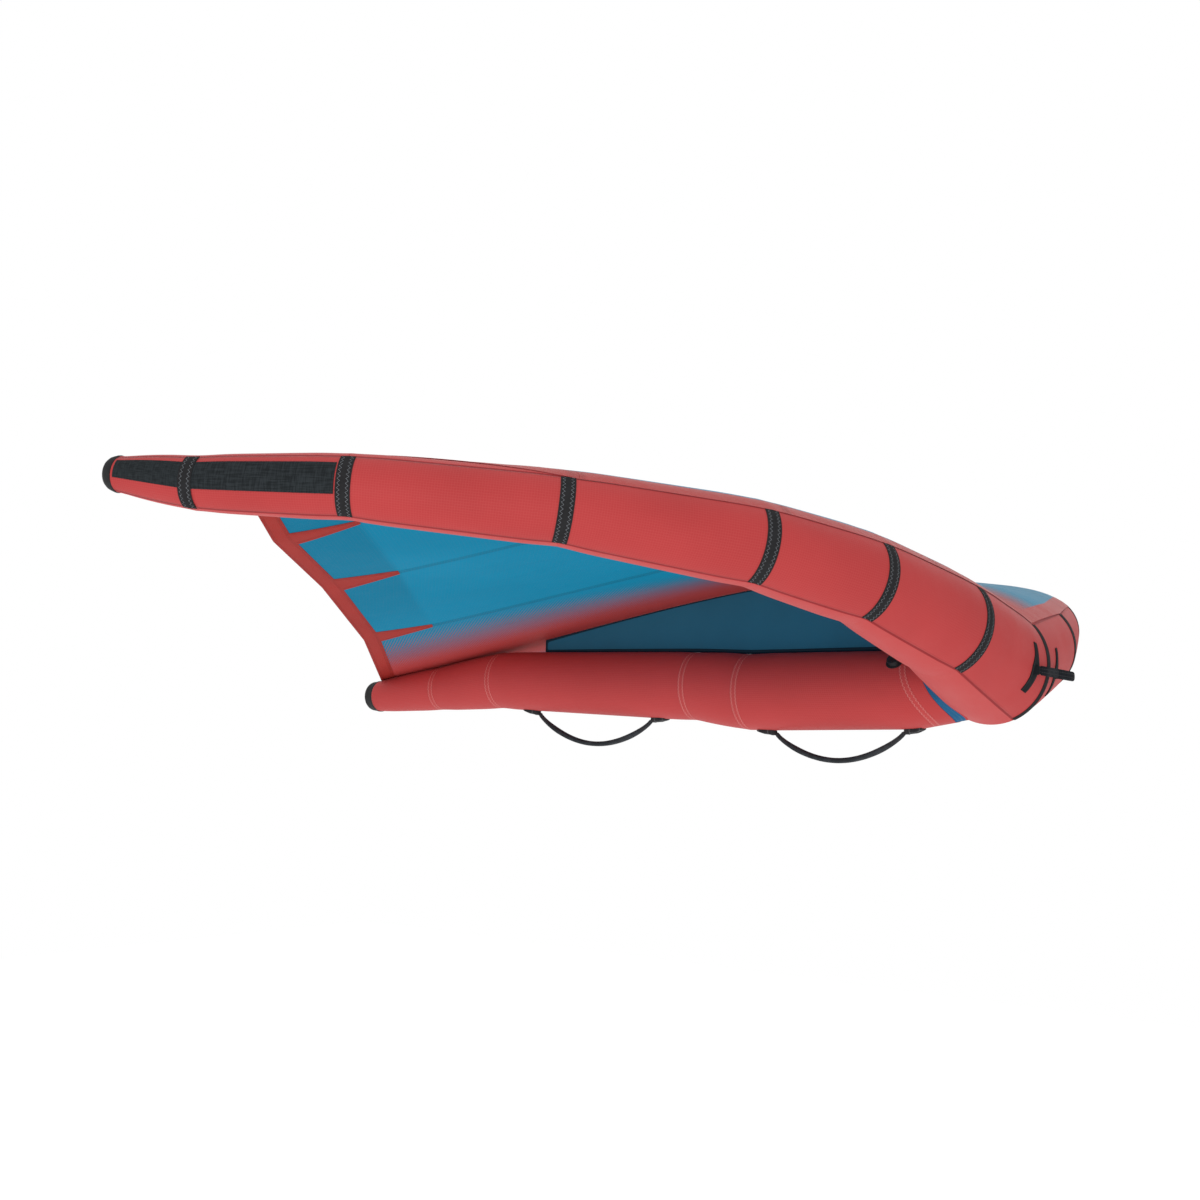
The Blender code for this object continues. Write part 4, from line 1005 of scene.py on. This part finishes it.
def along_chord(station, distance):
    """The canopy point this far from its front edge."""
    points, lengths = chord(station)
    distance = min(max(distance, 0.0), lengths[-1])
    low, high = 0, len(lengths) - 1
    while high - low > 1:
        middle = (low + high) // 2
        if lengths[middle] <= distance:
            low = middle
        else:
            high = middle
    point = points[low].lerp(points[high], (distance - lengths[low]) / (lengths[high] - lengths[low]))
    if station < 0:
        point.x = -point.x
    return point


def chord_length(station):
    return chord(station)[1][-1]


def band_at(station):
    """Width of the trailing edge band: it narrows where the canopy is short."""
    return min(BAND, BAND_SHARE * (chord_length(station) - BAND_FRONT))


# %% [markdown]
# ## Blue that fades to red
#
# The middle of the canopy is dyed red, and the dye breaks up into fine slanted lines before it
# turns blue. The pattern is laid by the distance from the middle of the wing. The first strip
# behind the tube is red too, and the cloth is doubled near the trailing edge, where it looks
# deeper. Ripstop threads draw a faint grid, and narrow double-stitched seams join the panels.

# %% Canopy cloth
BLUE = (0.0020, 0.238, 0.412)
CANOPY_RED = (0.500, 0.055, 0.047)
HATCH = 0.0034


def canopy_cloth():
    cloth = Cloth("blue_red_ripstop", BLUE, 0.62, 0.03)
    edge, tail, span = cloth.mark(), cloth.mark("tail"), cloth.calc("ABSOLUTE", cloth.x)
    cloud = cloth.cloud(2.2)
    blue = cloth.mix(cloth.fade(cloud, 0.3, 0.7), BLUE, (0.0020, 0.217, 0.377))
    double = cloth.times(cloth.fade(tail, 0.245, 0.275, 1.0, 0.0), cloth.fade(span, 0.30, 0.75))
    blue = cloth.mix(cloth.times(double, 0.55), blue, (0.0018, 0.150, 0.265))
    # The dye: slanted lines that grow from the red middle towards the blue.
    slant = cloth.calc("ADD", cloth.times(span, 0.82), cloth.times(cloth.y, 0.57))
    hatch = cloth.times(cloth.calc("PINGPONG", slant, HATCH), 1 / HATCH)
    widened = cloth.calc("DIVIDE", span, cloth.fade(cloth.y, 0.0, 1.5, 0.46, 1.04))
    dye = cloth.fade(widened, 0.03, 0.45)
    front = cloth.fade(cloth.y, 0.044, 0.047)
    mixed = cloth.calc("ADD", cloth.calc("MULTIPLY_ADD", dye, 1.2, -0.60), hatch)
    cover = cloth.times(cloth.fade(mixed, 0.32, 0.68), front)
    cloth.body = cloth.mix(cover, CANOPY_RED, blue)
    both = cloth.times(cloth.times(dye, cloth.calc("SUBTRACT", 1.0, dye)), front)
    cloth.paint(both, (0.030, 0.060, 0.085))
    # Threads, seams and creases.
    rip = cloth.ripstop((0.06, 0.30, 0.46), 0.006)
    fold = cloth.fade(cloth.calc("ABSOLUTE", edge), 0.0085, 0.0100, 1.0, 0.0)
    shade = cloth.mix(cover, (0.240, 0.026, 0.024), (0.008, 0.070, 0.115))
    cloth.paint(fold, shade, 0.22)
    cloth.paint(cloth.zigzag(cloth.y, edge, 0.0050, 0.0085, 0.0036, 0.0010), shade, 0.5)
    cloth.set("Roughness", cloth.fade(cloud, 0.2, 0.8, 0.56, 0.68))
    cloth.weave(0.0009, 0.00005)
    cloth.carve(rip, 0.0002)
    cloth.carve(fold, 0.0006)
    cloth.carve(cloth.streaks((7.0, 2.0, 1.0), 4.0), 0.010)
    cloth.upper_sheen(0.0, 0.36)
    return cloth.done()


ripstop = canopy_cloth()

# %% Seven stretched panels
TUCK = 0.006
PANEL_GAP = 0.0005
PANEL_CLOTH = 0.0009
PANEL_ROW = 0.022


def stretch_panel(name, first, last, columns):
    """One canopy panel between two stations, from the tube to just under the band."""

    def station(u):
        return first + u * (last - first)

    def reach(u):
        return chord_length(station(u)) - band_at(station(u)) + TUCK

    def surface(u, v, lift):
        return along_chord(station(u), v * reach(u)) + Vector((0, 0, lift))

    def chart(u, v):
        point = surface(u, v, 0.0)
        return point.x, v * reach(u)

    sides = [along_chord(station(end), 0.4).x for end in (0.0, 1.0)]
    width = abs(sides[1] - sides[0])

    def seam(u, v):
        return min(u, 1.0 - u) * width

    def tail(u, v):
        return (1.0 - v) * reach(u) + band_at(station(u))

    long = max(reach(0.0), reach(0.5), reach(1.0))
    rows = max(30, round(long / PANEL_ROW))
    cloth = lay_cloth(name, (columns, rows), (width, long), surface, 0.0, PANEL_CLOTH,
                      marks={"seam": seam, "tail": tail}, chart=chart)
    return cloth


middle_panel = stretch_panel("canopy_middle", -SEAMS[1] + PANEL_GAP, SEAMS[1] - PANEL_GAP, 56)
dress(middle_panel, ripstop, ("canopy_centre_panel",))
ENDS = SEAMS[1:] + [TIP_STATION]
for word, side in SIDES:
    for k, (near, far) in enumerate(zip(ENDS, ENDS[1:])):
        panel = stretch_panel(f"canopy_{word}_{k + 2}", side * (near + PANEL_GAP), side * (far - PANEL_GAP), 34)
        dress(panel, ripstop, (f"canopy_{word}_panel_{k + 2}",))
print("canopy span", round(middle_panel.dimensions.x, 3), "chord", round(middle_panel.dimensions.y, 3))

# %% [markdown]
# ## The load band and its fingers
#
# The trailing edge flutters in the wind, so a double band of red sailcloth takes its load. Under
# each canopy seam a tapered finger carries the pull forward into the cloth. Zigzag rows hold
# band and fingers down. The band wraps both faces, and the fingers lie on the under side.

# %% Band cloth
BAND_RED = (0.365, 0.030, 0.024)


def band_cloth():
    cloth = Cloth("red_band_cloth", BAND_RED, 0.62, 0.05)
    edge = cloth.mark()
    cloth.worn(7.0, BAND_RED, (0.325, 0.026, 0.021))
    cloth.ripstop((0.62, 0.14, 0.12))
    thread = cloth.calc("MAXIMUM", cloth.zigzag(cloth.x, edge, 0.0060, 0.009, 0.0036, 0.0010),
                        cloth.run_stitch(cloth.x, edge, 0.0110, 0.005, 0.0009))
    cloth.paint(thread, (0.18, 0.014, 0.012), 0.55)
    cloth.paint(cloth.fade(edge, 0.0006, 0.0020, 1.0, 0.0), (0.20, 0.020, 0.018), 0.35)
    cloth.weave()
    cloth.carve(thread, 0.0005)
    cloth.carve(cloth.cloud(20.0, 2.0), 0.0008)
    return cloth.done()


red_band = band_cloth()

# %% Band from tip to tip
BAND_COLUMNS = 240


def band_station(u):
    return -TIP_STATION + u * 2 * TIP_STATION


def band_surface(u, v, lift):
    station = band_station(u)
    total = chord_length(station)
    return along_chord(station, total - band_at(station) * (1.0 - v)) + Vector((0, 0, lift))


def band_edge(u, v):
    return min(v, 1.0 - v) * band_at(band_station(u))


places = [band_surface(k / BAND_COLUMNS, 1.0, 0.0) for k in range(BAND_COLUMNS + 1)]
band_run = sum((far - near).length for near, far in zip(places, places[1:]))
band = lay_cloth("load_band", (BAND_COLUMNS, 10), (band_run, BAND), band_surface, -0.0010, 0.0026,
                 marks={"seam": band_edge})
dress(band, red_band, ("trailing_edge_band",))
print("band length", round(band_run, 3))

# %% Six fingers
FINGER_LENGTH = 0.200
FINGER_ROOT, FINGER_TIP = 0.080, 0.022
FINGER_TUCK = 0.004


def lay_finger(name, side, span):
    """A tapered strip under one canopy seam, from the band to its tip."""
    columns = {}

    def column(offset):
        key = round(offset, 5)
        if key not in columns:
            columns[key] = side * station_at(span + key)
        return columns[key]

    def half(v):
        return (FINGER_TIP + (FINGER_ROOT - FINGER_TIP) * v) / 2

    def surface(u, v, lift):
        station = column((2 * u - 1) * half(v))
        total = chord_length(station)
        tail = band_at(station) - FINGER_TUCK + (1.0 - v) * FINGER_LENGTH
        return along_chord(station, total - tail) - Vector((0, 0, lift))

    def edge(u, v):
        return min(min(u, 1.0 - u) * 2 * half(v), (1.0 - v) * 0.3 + 0.02, v * FINGER_LENGTH + 0.0005)

    size = ((FINGER_ROOT + FINGER_TIP) / 2, FINGER_LENGTH)
    return lay_cloth(name, (10, 24), size, surface, 0.0002, 0.0009, marks={"seam": edge})


for word, side in SIDES:
    for k, span in enumerate(EDGE_SPANS[1:]):
        dress(lay_finger(f"band_finger_{word}_{k + 1}", side, span), red_band)
print("fingers", 2 * len(EDGE_SPANS[1:]))

# %% [markdown]
# ## The web
#
# An upright wall of dark blue cloth ties the strut to the canopy, so that the canopy keeps its
# curve along the middle. It has four known sides: the strut below, the canopy above, the round
# of the leading edge in front and a straight hem behind. A cloth with four known sides is
# filled by mixing them, which a tailor does by easing cloth into a frame.

# %% Web cloth and its four sides
WEB_FRONT, WEB_REAR = 0.138, 1.333
WEB_GAP = 0.0004
HEAD_DEGREES = 72.0


def web_cloth():
    cloth = Cloth("deep_blue_web_cloth", (0.0190, 0.105, 0.180), 0.62, 0.05)
    edge = cloth.mark()
    cloth.worn(3.0, (0.0225, 0.132, 0.222), (0.0200, 0.114, 0.194))
    cloth.ripstop((0.05, 0.13, 0.19), amount=0.12)
    binding = cloth.fade(edge, 0.0075, 0.0085, 1.0, 0.0)
    cloth.paint(binding, (0.0060, 0.020, 0.034))
    cloth.paint(cloth.run_stitch(cloth.x, edge, 0.0050, 0.005, 0.0009), (0.03, 0.08, 0.12), 0.5)
    cloth.weave()
    cloth.carve(binding, 0.0006)
    cloth.carve(cloth.cloud(9.0), 0.003)
    return cloth.done()


def web_below(aft):
    return Vector((0, aft, strut_top(aft) + WEB_GAP)) + NOSE


def web_above(aft):
    """Point of the canopy's middle line at this place behind the nose."""
    points = chord(0.0)[0]
    for near, far in zip(points[8:], points[9:]):
        if far.y - NOSE.y >= aft:
            share = (aft + NOSE.y - near.y) / (far.y - near.y)
            return near.lerp(far, share) - Vector((0, 0, WEB_GAP))
    return points[-1].copy()


foot_degrees = next(d for d in range(180, 90, -1) if tube_point(0, d, SEAT).z > web_below(WEB_FRONT).z)
web_front = [tube_point(0, foot_degrees, SEAT), tube_point(0, HEAD_DEGREES, SEAT + 0.001)]
front_afts = [point.y - NOSE.y for point in web_front]


def web_surface(u, v, lift):
    low = web_below(front_afts[0] + u * (WEB_REAR - front_afts[0]))
    high = web_above(front_afts[1] + u * (WEB_REAR - front_afts[1]))
    fore = tube_point(0, foot_degrees + v * (HEAD_DEGREES - foot_degrees), SEAT)
    rear = web_below(WEB_REAR).lerp(web_above(WEB_REAR), v)
    corners = (web_front[0], web_below(WEB_REAR), web_front[1], web_above(WEB_REAR))
    flat = (1 - u) * (1 - v) * corners[0] + u * (1 - v) * corners[1] + (1 - u) * v * corners[2] + u * v * corners[3]
    point = (1 - v) * low + v * high + (1 - u) * fore + u * rear - flat
    return point + Vector((lift, 0, 0))


def web_edge(u, v):
    aft = WEB_REAR * max(u, 0.1)
    tall = (web_above(aft) - web_below(aft)).z
    return min((1 - u) * WEB_REAR, min(v, 1 - v) * max(tall, 0.02))


def web_chart(u, v):
    point = web_surface(u, v, 0.0)
    return point.y - NOSE.y, point.z


web = lay_cloth("strut_web_cloth", (110, 20), (WEB_REAR, 0.2), web_surface, -0.0005, 0.001,
                marks={"seam": web_edge}, chart=web_chart)
dress(web, web_cloth(), ("strut_web",))

# %% [markdown]
# ## Bladders
#
# Inside each tube lies a bladder of thin clear film, which holds the air. It is cut a little
# small and presses against the sailcloth. Nobody sees it from outside, but it is a real piece,
# so it is rolled in the same way as the cloth, with rounded ends and a welded seam.

# %% Clear film
FILM = 0.0006
FILM_GAP = 0.0028
FILM_COLOUR = (0.72, 0.72, 0.69)


def film():
    cloth = Cloth("clear_bladder_film", FILM_COLOUR, 0.22)
    cloth.paint(cloth.fade(cloth.x, 0.004, 0.006, 1.0, 0.0), (0.5, 0.5, 0.47), 0.5)
    crease = cloth.cloud(14.0, 4.0)
    cloth.set("Roughness", cloth.fade(crease, 0.2, 0.8, 0.16, 0.32))
    cloth.carve(crease, 0.002)
    return cloth.done()


clear_film = film()


def film_lift(distance, radius):
    """How far the film lies under the cloth, this far from its rounded end."""
    share = min(1.0, max(0.0, distance / radius))
    round_end = math.sqrt(max(0.0, 1.0 - (1.0 - share) ** 2))
    full = radius - FILM_GAP - FILM
    return -FILM_GAP - FILM - full * (1.0 - max(0.12, round_end))


# %% Two rolled bladders
EDGE_REACH = 6.94
STRUT_FILM_ENDS = (0.236, STRUT_AFTS[-1] - 0.021)


def edge_bladder_surface(u, v, lift):
    station = -EDGE_REACH + 2 * EDGE_REACH * v
    near = (EDGE_REACH - abs(station)) * PANEL_LENGTHS[-1] if abs(station) > 6 else 1.0
    inset = film_lift(near, tube_radius(station)) - swell(abs(station) % 1.0, 0.3)
    return tube_point(station, round_tube(u), inset + lift)


def strut_bladder_surface(u, v, lift):
    front, rear = STRUT_FILM_ENDS
    aft = front + v * (rear - front)
    return strut_point(aft, round_strut(u), film_lift(min(aft - front, rear - aft), strut_axis(aft)[1]) + lift)


FILMS = (("edge_bladder_film", (48, 320), 2 * sum(PANEL_LENGTHS), edge_bladder_surface, "le_bladder"),
         ("strut_bladder_film", (48, 160), 1.77, strut_bladder_surface, "strut_bladder"))
for name, cuts, length, surface, node in FILMS:
    bladder = lay_cloth(name, cuts, (0.55, length), surface, 0.0, FILM, closed=True)
    dress(bladder, clear_film, (node,))
    print("bladder", name)


# %% [markdown]
# ## Grips of padded webbing
#
# Each strut grip is a webbing strap inside a padded sleeve. The strap is thin and round where it
# enters its anchor, and the sleeve makes the middle thick enough for a fist. The strap hangs in
# the curve that its own stiffness gives it: steep beside the anchors and flat between them. A
# seam runs along the sleeve, and its two ends are bound with a few rows of thread.

# %% Webbing cloth
def webbing_cloth(name, colour, ribbed):
    """Coarse narrow weave; ribbed adds the cross ribs of padded sleeve cloth."""
    cloth = Cloth(name, colour, 0.78, 0.06)
    cloth.worn(40.0, colour, [c * 1.7 + 0.004 for c in colour], full=0.8)
    thread = cloth.run_stitch(cloth.y, cloth.mark(), 0.0025, 0.0045, 0.0009)
    binding = cloth.times(cloth.lines(cloth.y, 0.003, 0.0010), cloth.fade(cloth.mark("tail"), 0.012, 0.0125, 1.0, 0.0))
    stitched = cloth.calc("MAXIMUM", binding, thread)
    cloth.paint(stitched, (0.12, 0.12, 0.125), 0.30)
    cloth.weave(0.0022, 0.00025)
    if ribbed:
        cloth.carve(cloth.lines(cloth.y, 0.0065, 0.0022), 0.0006)
    cloth.carve(stitched, 0.0005)
    cloth.set("Sheen Weight", 0.02)
    cloth.set("Sheen Roughness", 0.5)
    return cloth.done()


# Painted light: one sleeve cloth in two copies, painted lighter for the strut grips and darker for the nose grip, which
# catches more light.
strut_sleeve_lightened = webbing_cloth("strut_sleeve_painted_lighter", (0.030, 0.033, 0.037), True)
nose_sleeve_darkened = webbing_cloth("nose_sleeve_painted_darker", (0.010, 0.012, 0.015), True)
webbing = webbing_cloth("black_webbing_cloth", (0.010, 0.012, 0.014), False)


# %% Sweep a strap along its hanging line
EDGE_SHARE = 0.65
EDGE_ROUND = 0.002
BINDING_PLACE = 0.030


def hanging_line(first, last, way, drop):
    """Places along a strap between two pivots."""

    def at(share):
        return first.lerp(last, share) + drop * math.sin(math.pi * min(1.0, max(0.0, share))) ** 0.75 * way

    return at


def rounded(turn, power):
    """Cosine of a turn, squared up: a power below 1 gives the section flatter sides."""
    return math.copysign(abs(math.cos(turn)) ** power, math.cos(turn))


def sweep_strap(name, at, across, width, thickness, end_size, steps=96, neck=0.22):
    """Roll a flat cut round a strap's line; it narrows to a round end at both pivots."""
    places = [at(0.5 - 0.5 * math.cos(math.pi * k / steps)) for k in range(steps + 1)]
    run = [0.0]
    for near, far in zip(places, places[1:]):
        run.append(run[-1] + (far - near).length)
    chord_way = (places[-1] - places[0]).normalized()
    girth = 2 * (width + thickness)

    def end_distance(v):
        gone = run[round(v * steps)]
        return min(gone, run[-1] - gone)

    def surface(u, v):
        k = round(v * steps)
        along = (places[min(k + 1, steps)] - places[max(k - 1, 0)]).normalized()
        if k in (0, steps):
            along = chord_way
        up = along.cross(across).normalized()
        near = end_distance(v) / run[-1]
        fill = min(1.0, near / neck)
        fill = fill * fill * (3 - 2 * fill)
        edge = min(1.0, near * run[-1] / EDGE_ROUND) * (1.0 - EDGE_SHARE) + EDGE_SHARE
        wide = (end_size + fill * (width - end_size)) * edge
        tall = (end_size + fill * (thickness - end_size)) * edge
        turn = math.tau * u
        return (places[k] + rounded(turn, 0.7) * wide / 2 * across
                + rounded(turn - math.pi / 2, 0.8) * tall / 2 * up)

    marks = {"seam": lambda u, v: abs(u - 0.25) * girth, "tail": lambda u, v: abs(end_distance(v) - BINDING_PLACE)}
    bm = sew_grid((36, steps), surface, lambda u, v: (u * girth, run[round(v * steps)]), marks)
    return close_skin(name, bm, 60.0)


# %% Two strut grips
HANDLES = (("rear_handle", (0.957, 1.345), 0.076), ("front_handle", (0.216, 0.569), 0.070))
STANDOFF = 0.0085
PIVOT_GAP = 0.0003
SLEEVE_SIZE = (0.0238, 0.0135, 0.0105)


def strut_pivot(aft):
    return Vector((0, aft, strut_bottom(aft) - STANDOFF)) + NOSE


for word, afts, drop in HANDLES:
    first, last = strut_pivot(afts[0]), strut_pivot(afts[1])
    gap = (last - first).normalized() * PIVOT_GAP
    line = hanging_line(first + gap, last - gap, Vector((0, 0, -1)), drop)
    grip = sweep_strap(f"{word}_sleeve", line, Vector((1, 0, 0)), *SLEEVE_SIZE)
    dress(grip, strut_sleeve_lightened, (f"{word}_grip",), body=word)
print("grip box", [round(v, 3) for v in grip.dimensions])

# %% [markdown]
# ## Anchors
#
# An anchor is a folded block of webbing sewn to the strut's under side. It is widest and
# thinnest where it is stitched down, and it gathers towards the grip. A box of stitches with a
# cross holds it, and a pale bar of dense thread locks the last fold.

# %% Anchor cloth with a box stitch
STITCH = (0.004, 0.0009)
BOX_ENDS = (0.018, 0.045)


def anchor_cloth():
    """Two rows across, two along and a cross make the box stitch."""
    cloth = Cloth("black_anchor_webbing", (0.017, 0.017, 0.019), 0.75)
    x, y = cloth.x, cloth.y
    cloth.worn(45.0, (0.015, 0.015, 0.017), (0.036, 0.036, 0.040), full=0.8)
    rows = [cloth.run_stitch(x, y, at, *STITCH) for at in BOX_ENDS]
    wide = cloth.calc("ABSOLUTE", x)
    inside = cloth.times(cloth.fade(y, 0.0175, 0.0180), cloth.fade(y, 0.0452, 0.0457, 1.0, 0.0))
    sides = cloth.times(cloth.run_stitch(y, wide, 0.0125, *STITCH), inside)
    slope = cloth.calc("ABSOLUTE", cloth.times(cloth.calc("SUBTRACT", y, sum(BOX_ENDS) / 2), 0.926))
    cross = cloth.times(cloth.run_stitch(y, cloth.calc("SUBTRACT", wide, slope), 0.0, *STITCH), inside)
    thread = cloth.calc("MAXIMUM", cloth.calc("MAXIMUM", *rows), cloth.calc("MAXIMUM", sides, cross))
    cloth.paint(thread, (0.20, 0.20, 0.21), 0.8)
    cloth.weave(0.0020, 0.0003)
    cloth.carve(thread, 0.0006)
    return cloth.done()


def satin_thread():
    """Pale thread in close rows."""
    finish = Finish("pale_bar_thread", (0.44, 0.46, 0.48), 0.6)
    satin = finish.lines(finish.parts(finish.add("TexCoord").outputs["Object"])[1], 0.0011, 0.0007)
    finish.paint(satin, (0.24, 0.25, 0.26))
    finish.carve(satin, 0.0004)
    return finish.done()


anchor_look, bar_thread = anchor_cloth(), satin_thread()

# %% Four anchors with their bars
ANCHOR_LENGTH = 0.050
ANCHOR_PLACES = (0.0, 0.006, 0.030, 0.050)
ANCHOR_DROPS = (0.0140, 0.0140, 0.0112, 0.0050)
ANCHOR_WIDTHS = (0.0110, 0.0238, 0.034, 0.034)
SEAT_SHARE = 0.4
SEAT_GAP = 0.0021
END_SOFTNESS = 0.0015
BAR_PLACE, BAR_DROP = 0.0105, 0.0128
BAR_SIZE = (0.016, 0.006, 0.0030)


def lay_anchor(name, pivot_aft, way):
    """A closed wedge: a seat on the strut's skin above and a rounded under side below."""

    def section(v):
        """Place, drop and half width; both ends are a little rounded."""
        place = v * ANCHOR_LENGTH
        soft = END_SOFTNESS * (1.0 - min(1.0, min(place, ANCHOR_LENGTH - place) / 0.0025))
        drop = between(place, ANCHOR_PLACES, ANCHOR_DROPS) - soft * 0.5
        half = between(place, ANCHOR_PLACES, ANCHOR_WIDTHS) / 2 - soft
        return pivot_aft + way * place, max(drop, 0.0012), half

    def surface(u, v):
        aft, drop, half = section(v)
        height, radius = strut_axis(aft)

        def skin(x):
            return height - math.sqrt((radius + SEAT_GAP) ** 2 - x * x)

        if u <= SEAT_SHARE:
            x = half * (2 * u / SEAT_SHARE - 1.0)
            return Vector((x, aft, skin(x))) + NOSE
        turn = math.pi * (u - SEAT_SHARE) / (1.0 - SEAT_SHARE)
        x = half * rounded(turn, 0.45)
        under = height - radius - drop
        return Vector((x, aft, skin(x) + (under - skin(x)) * abs(math.sin(turn)) ** 0.6)) + NOSE

    return close_skin(name, sew_grid((60, 30), surface, lambda u, v: (surface(u, v).x, v * ANCHOR_LENGTH), {}), 50.0)


def pill(name, centre, size, rounding=0.45):
    """A small rounded bar, marked as far from any seam."""
    bm = bmesh.new()
    bmesh.ops.create_cube(bm, size=1.0)
    bmesh.ops.scale(bm, vec=size, verts=bm.verts)
    bmesh.ops.bevel(bm, geom=bm.edges, offset=min(size) * rounding, segments=4, affect="EDGES")
    bmesh.ops.translate(bm, vec=centre, verts=bm.verts)
    for word in ("seam", "tail"):
        layer = bm.verts.layers.float.new(word)
        for vert in bm.verts:
            vert[layer] = 1.0
    return round_off(to_object(name, bm), 60.0)


for word, afts, drop in HANDLES:
    for end, aft, way in (("fore", afts[0], -1), ("aft", afts[1], 1)):
        anchor = lay_anchor(f"{word}_block_{end}", aft, way)
        dress(anchor, anchor_look, (f"{word}_anchor_{end}",))
        bar_aft = aft + way * BAR_PLACE
        bar_centre = Vector((0, bar_aft, strut_bottom(bar_aft) - BAR_DROP)) + NOSE
        dress(pill(f"{word}_bar_{end}", bar_centre, BAR_SIZE), bar_thread)
print("anchors", 2 * len(HANDLES))

# %% [markdown]
# ## Nose grip and its two patches
#
# A short stiff grip crosses the nose for carrying. Each end sits on a patch with the shape of a
# Y lying on its side: webbing legs run up and down round the tube, thin at their ends and broad
# where they meet, and a stub there holds the grip.

# %% Nose grip
NOSE_SHARE = 0.062 / JOINTS[1][0].x
NOSE_DEGREES = -12.4
DROOP = math.radians(10.5)
NOSE_SLEEVE_SIZE = (0.0220, 0.0105, 0.0130)


def nose_pivot(side):
    lift = STANDOFF - swell(NOSE_SHARE, PANEL_LENGTHS[0])
    return tube_point(side * NOSE_SHARE, NOSE_DEGREES, lift)


gap = Vector((PIVOT_GAP, 0, 0))
line = hanging_line(nose_pivot(-1) + gap, nose_pivot(1) - gap, Vector((0, -math.cos(DROOP), -math.sin(DROOP))), 0.054)
grip = sweep_strap("nose_grip_sleeve", line, Vector((0, 0, 1)), *NOSE_SLEEVE_SIZE, steps=72, neck=0.025)
dress(grip, nose_sleeve_darkened, ("nose_handle_grip",), body="nose_handle")

# %% Y patches
LEG_DEGREES = (-37.7, -33.75, -22.5, -11.25, 0.0, 12.4)
LEG_CENTRES = (0.075, 0.073, 0.069, 0.068, 0.070, 0.074)
LEG_WIDTHS = (0.0205, 0.0215, 0.0230, 0.0300, 0.0175, 0.0140)
LEG_WIDTH, LEG_RUN = 0.022, 0.116
STUB_SIZE = (0.0120, 0.0170, 0.0215)


def lay_legs(name, side):
    """Both legs of a patch as one strip that bends with the tube."""

    def surface(u, v, lift):
        degrees = LEG_DEGREES[0] + v * (LEG_DEGREES[-1] - LEG_DEGREES[0])
        centre = between(degrees, LEG_DEGREES, LEG_CENTRES)
        width = between(degrees, LEG_DEGREES, LEG_WIDTHS)
        station = (centre + (u - 0.5) * width) / JOINTS[1][0].x
        return tube_point(side * station, degrees, lift - swell(station, PANEL_LENGTHS[0]))

    marks = {"seam": lambda u, v: min(u, 1.0 - u) * LEG_WIDTH, "tail": lambda u, v: 1.0}
    return lay_cloth(name, (10, 48), (LEG_WIDTH, LEG_RUN), surface, 0.0024, 0.0018, marks=marks)


for word, side in SIDES:
    dress(lay_legs(f"nose_patch_{word}", side), webbing, (f"nose_handle_patch_{word}",))
    stub_centre = nose_pivot(side) + Vector((side * 0.0062, 0.0050, 0))
    dress(pill(f"nose_stub_{word}", stub_centre, STUB_SIZE, 0.16), webbing)
print("nose grip", [round(v, 3) for v in grip.dimensions])

# %% [markdown]
# ## Inflation valve
#
# The valve is two moulded pieces. A flange is welded to the strut's skin round a hollow neck,
# and a cap on a small hinge closes it. Both are spun from a profile; ribs round the cap give
# the fingers a hold.

# %% Valve
VALVE_AFT, VALVE_DEGREES = 0.212, 140.0
BASE_PROFILE = ((0.0210, 0.0019), (0.0210, 0.0024), (0.0205, 0.0031), (0.0195, 0.0033), (0.0150, 0.0033),
                (0.0143, 0.0038), (0.0140, 0.0046), (0.0140, 0.0106), (0.0137, 0.0112), (0.0131, 0.0113),
                (0.0096, 0.0113), (0.0090, 0.0107), (0.0090, 0.0019))
CAP_PROFILE = ((0.0, 0.0116), (0.0150, 0.0116), (0.0155, 0.0120), (0.0155, 0.0146), (0.0150, 0.0153),
               (0.0142, 0.0156), (0.0100, 0.0154), (0.0092, 0.0147), (0.0, 0.0145))
RIBS = 36
RIB_SIZE = (0.0008, 0.0007, 0.0022)
RIB_REACH, RIB_HEIGHT = 0.0156, 0.0133

plastic = moulded("black_valve_plastic", (0.020, 0.021, 0.023), 0.38, 0.0001)
height, radius = strut_axis(VALVE_AFT)
turn = math.radians(VALVE_DEGREES)
outward = Vector((math.cos(turn), 0, math.sin(turn)))
valve_foot = Vector((0, VALVE_AFT, height)) + radius * outward + NOSE
aftward = Vector((0, 1, 0))
base = spin_profile("valve_flange_neck", BASE_PROFILE, valve_foot, outward, aftward, ring=True)
dress(base, plastic, ("valve_base",))
lid = spin_profile("valve_lid_disc", CAP_PROFILE, valve_foot, outward, aftward)
dress(lid, plastic, ("valve_cap",), body="valve_lid")

bm = bmesh.new()
for k in range(RIBS):
    angle = math.tau * k / RIBS
    spoke = math.cos(angle) * aftward + math.sin(angle) * outward.cross(aftward)
    made = bmesh.ops.create_cube(bm, size=1.0)["verts"]
    bmesh.ops.scale(bm, vec=RIB_SIZE, verts=made)
    stand = Matrix((spoke, outward.cross(spoke), outward)).transposed().to_4x4()
    stand.translation = valve_foot + spoke * RIB_REACH + outward * RIB_HEIGHT
    bmesh.ops.transform(bm, matrix=stand, verts=made)
bmesh.ops.recalc_face_normals(bm, faces=bm.faces)
dress(to_object("valve_lid_ribs", bm), plastic, body="valve_lid")
print("valve at", [round(v, 3) for v in valve_foot])

# %% [markdown]
# ## The two boxes
#
# The box of the solids and the box of the visible wing are printed side by side; apart
# from a few millimetres of cloth, the two should match.

# %% Print both boxes
visual_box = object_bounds()
boxes = {"cad": [list(corner) for corner in cad_box], "visual": [list(corner) for corner in visual_box]}
for word, box in boxes.items():
    print(word, [round(v, 4) for corner in box for v in corner])
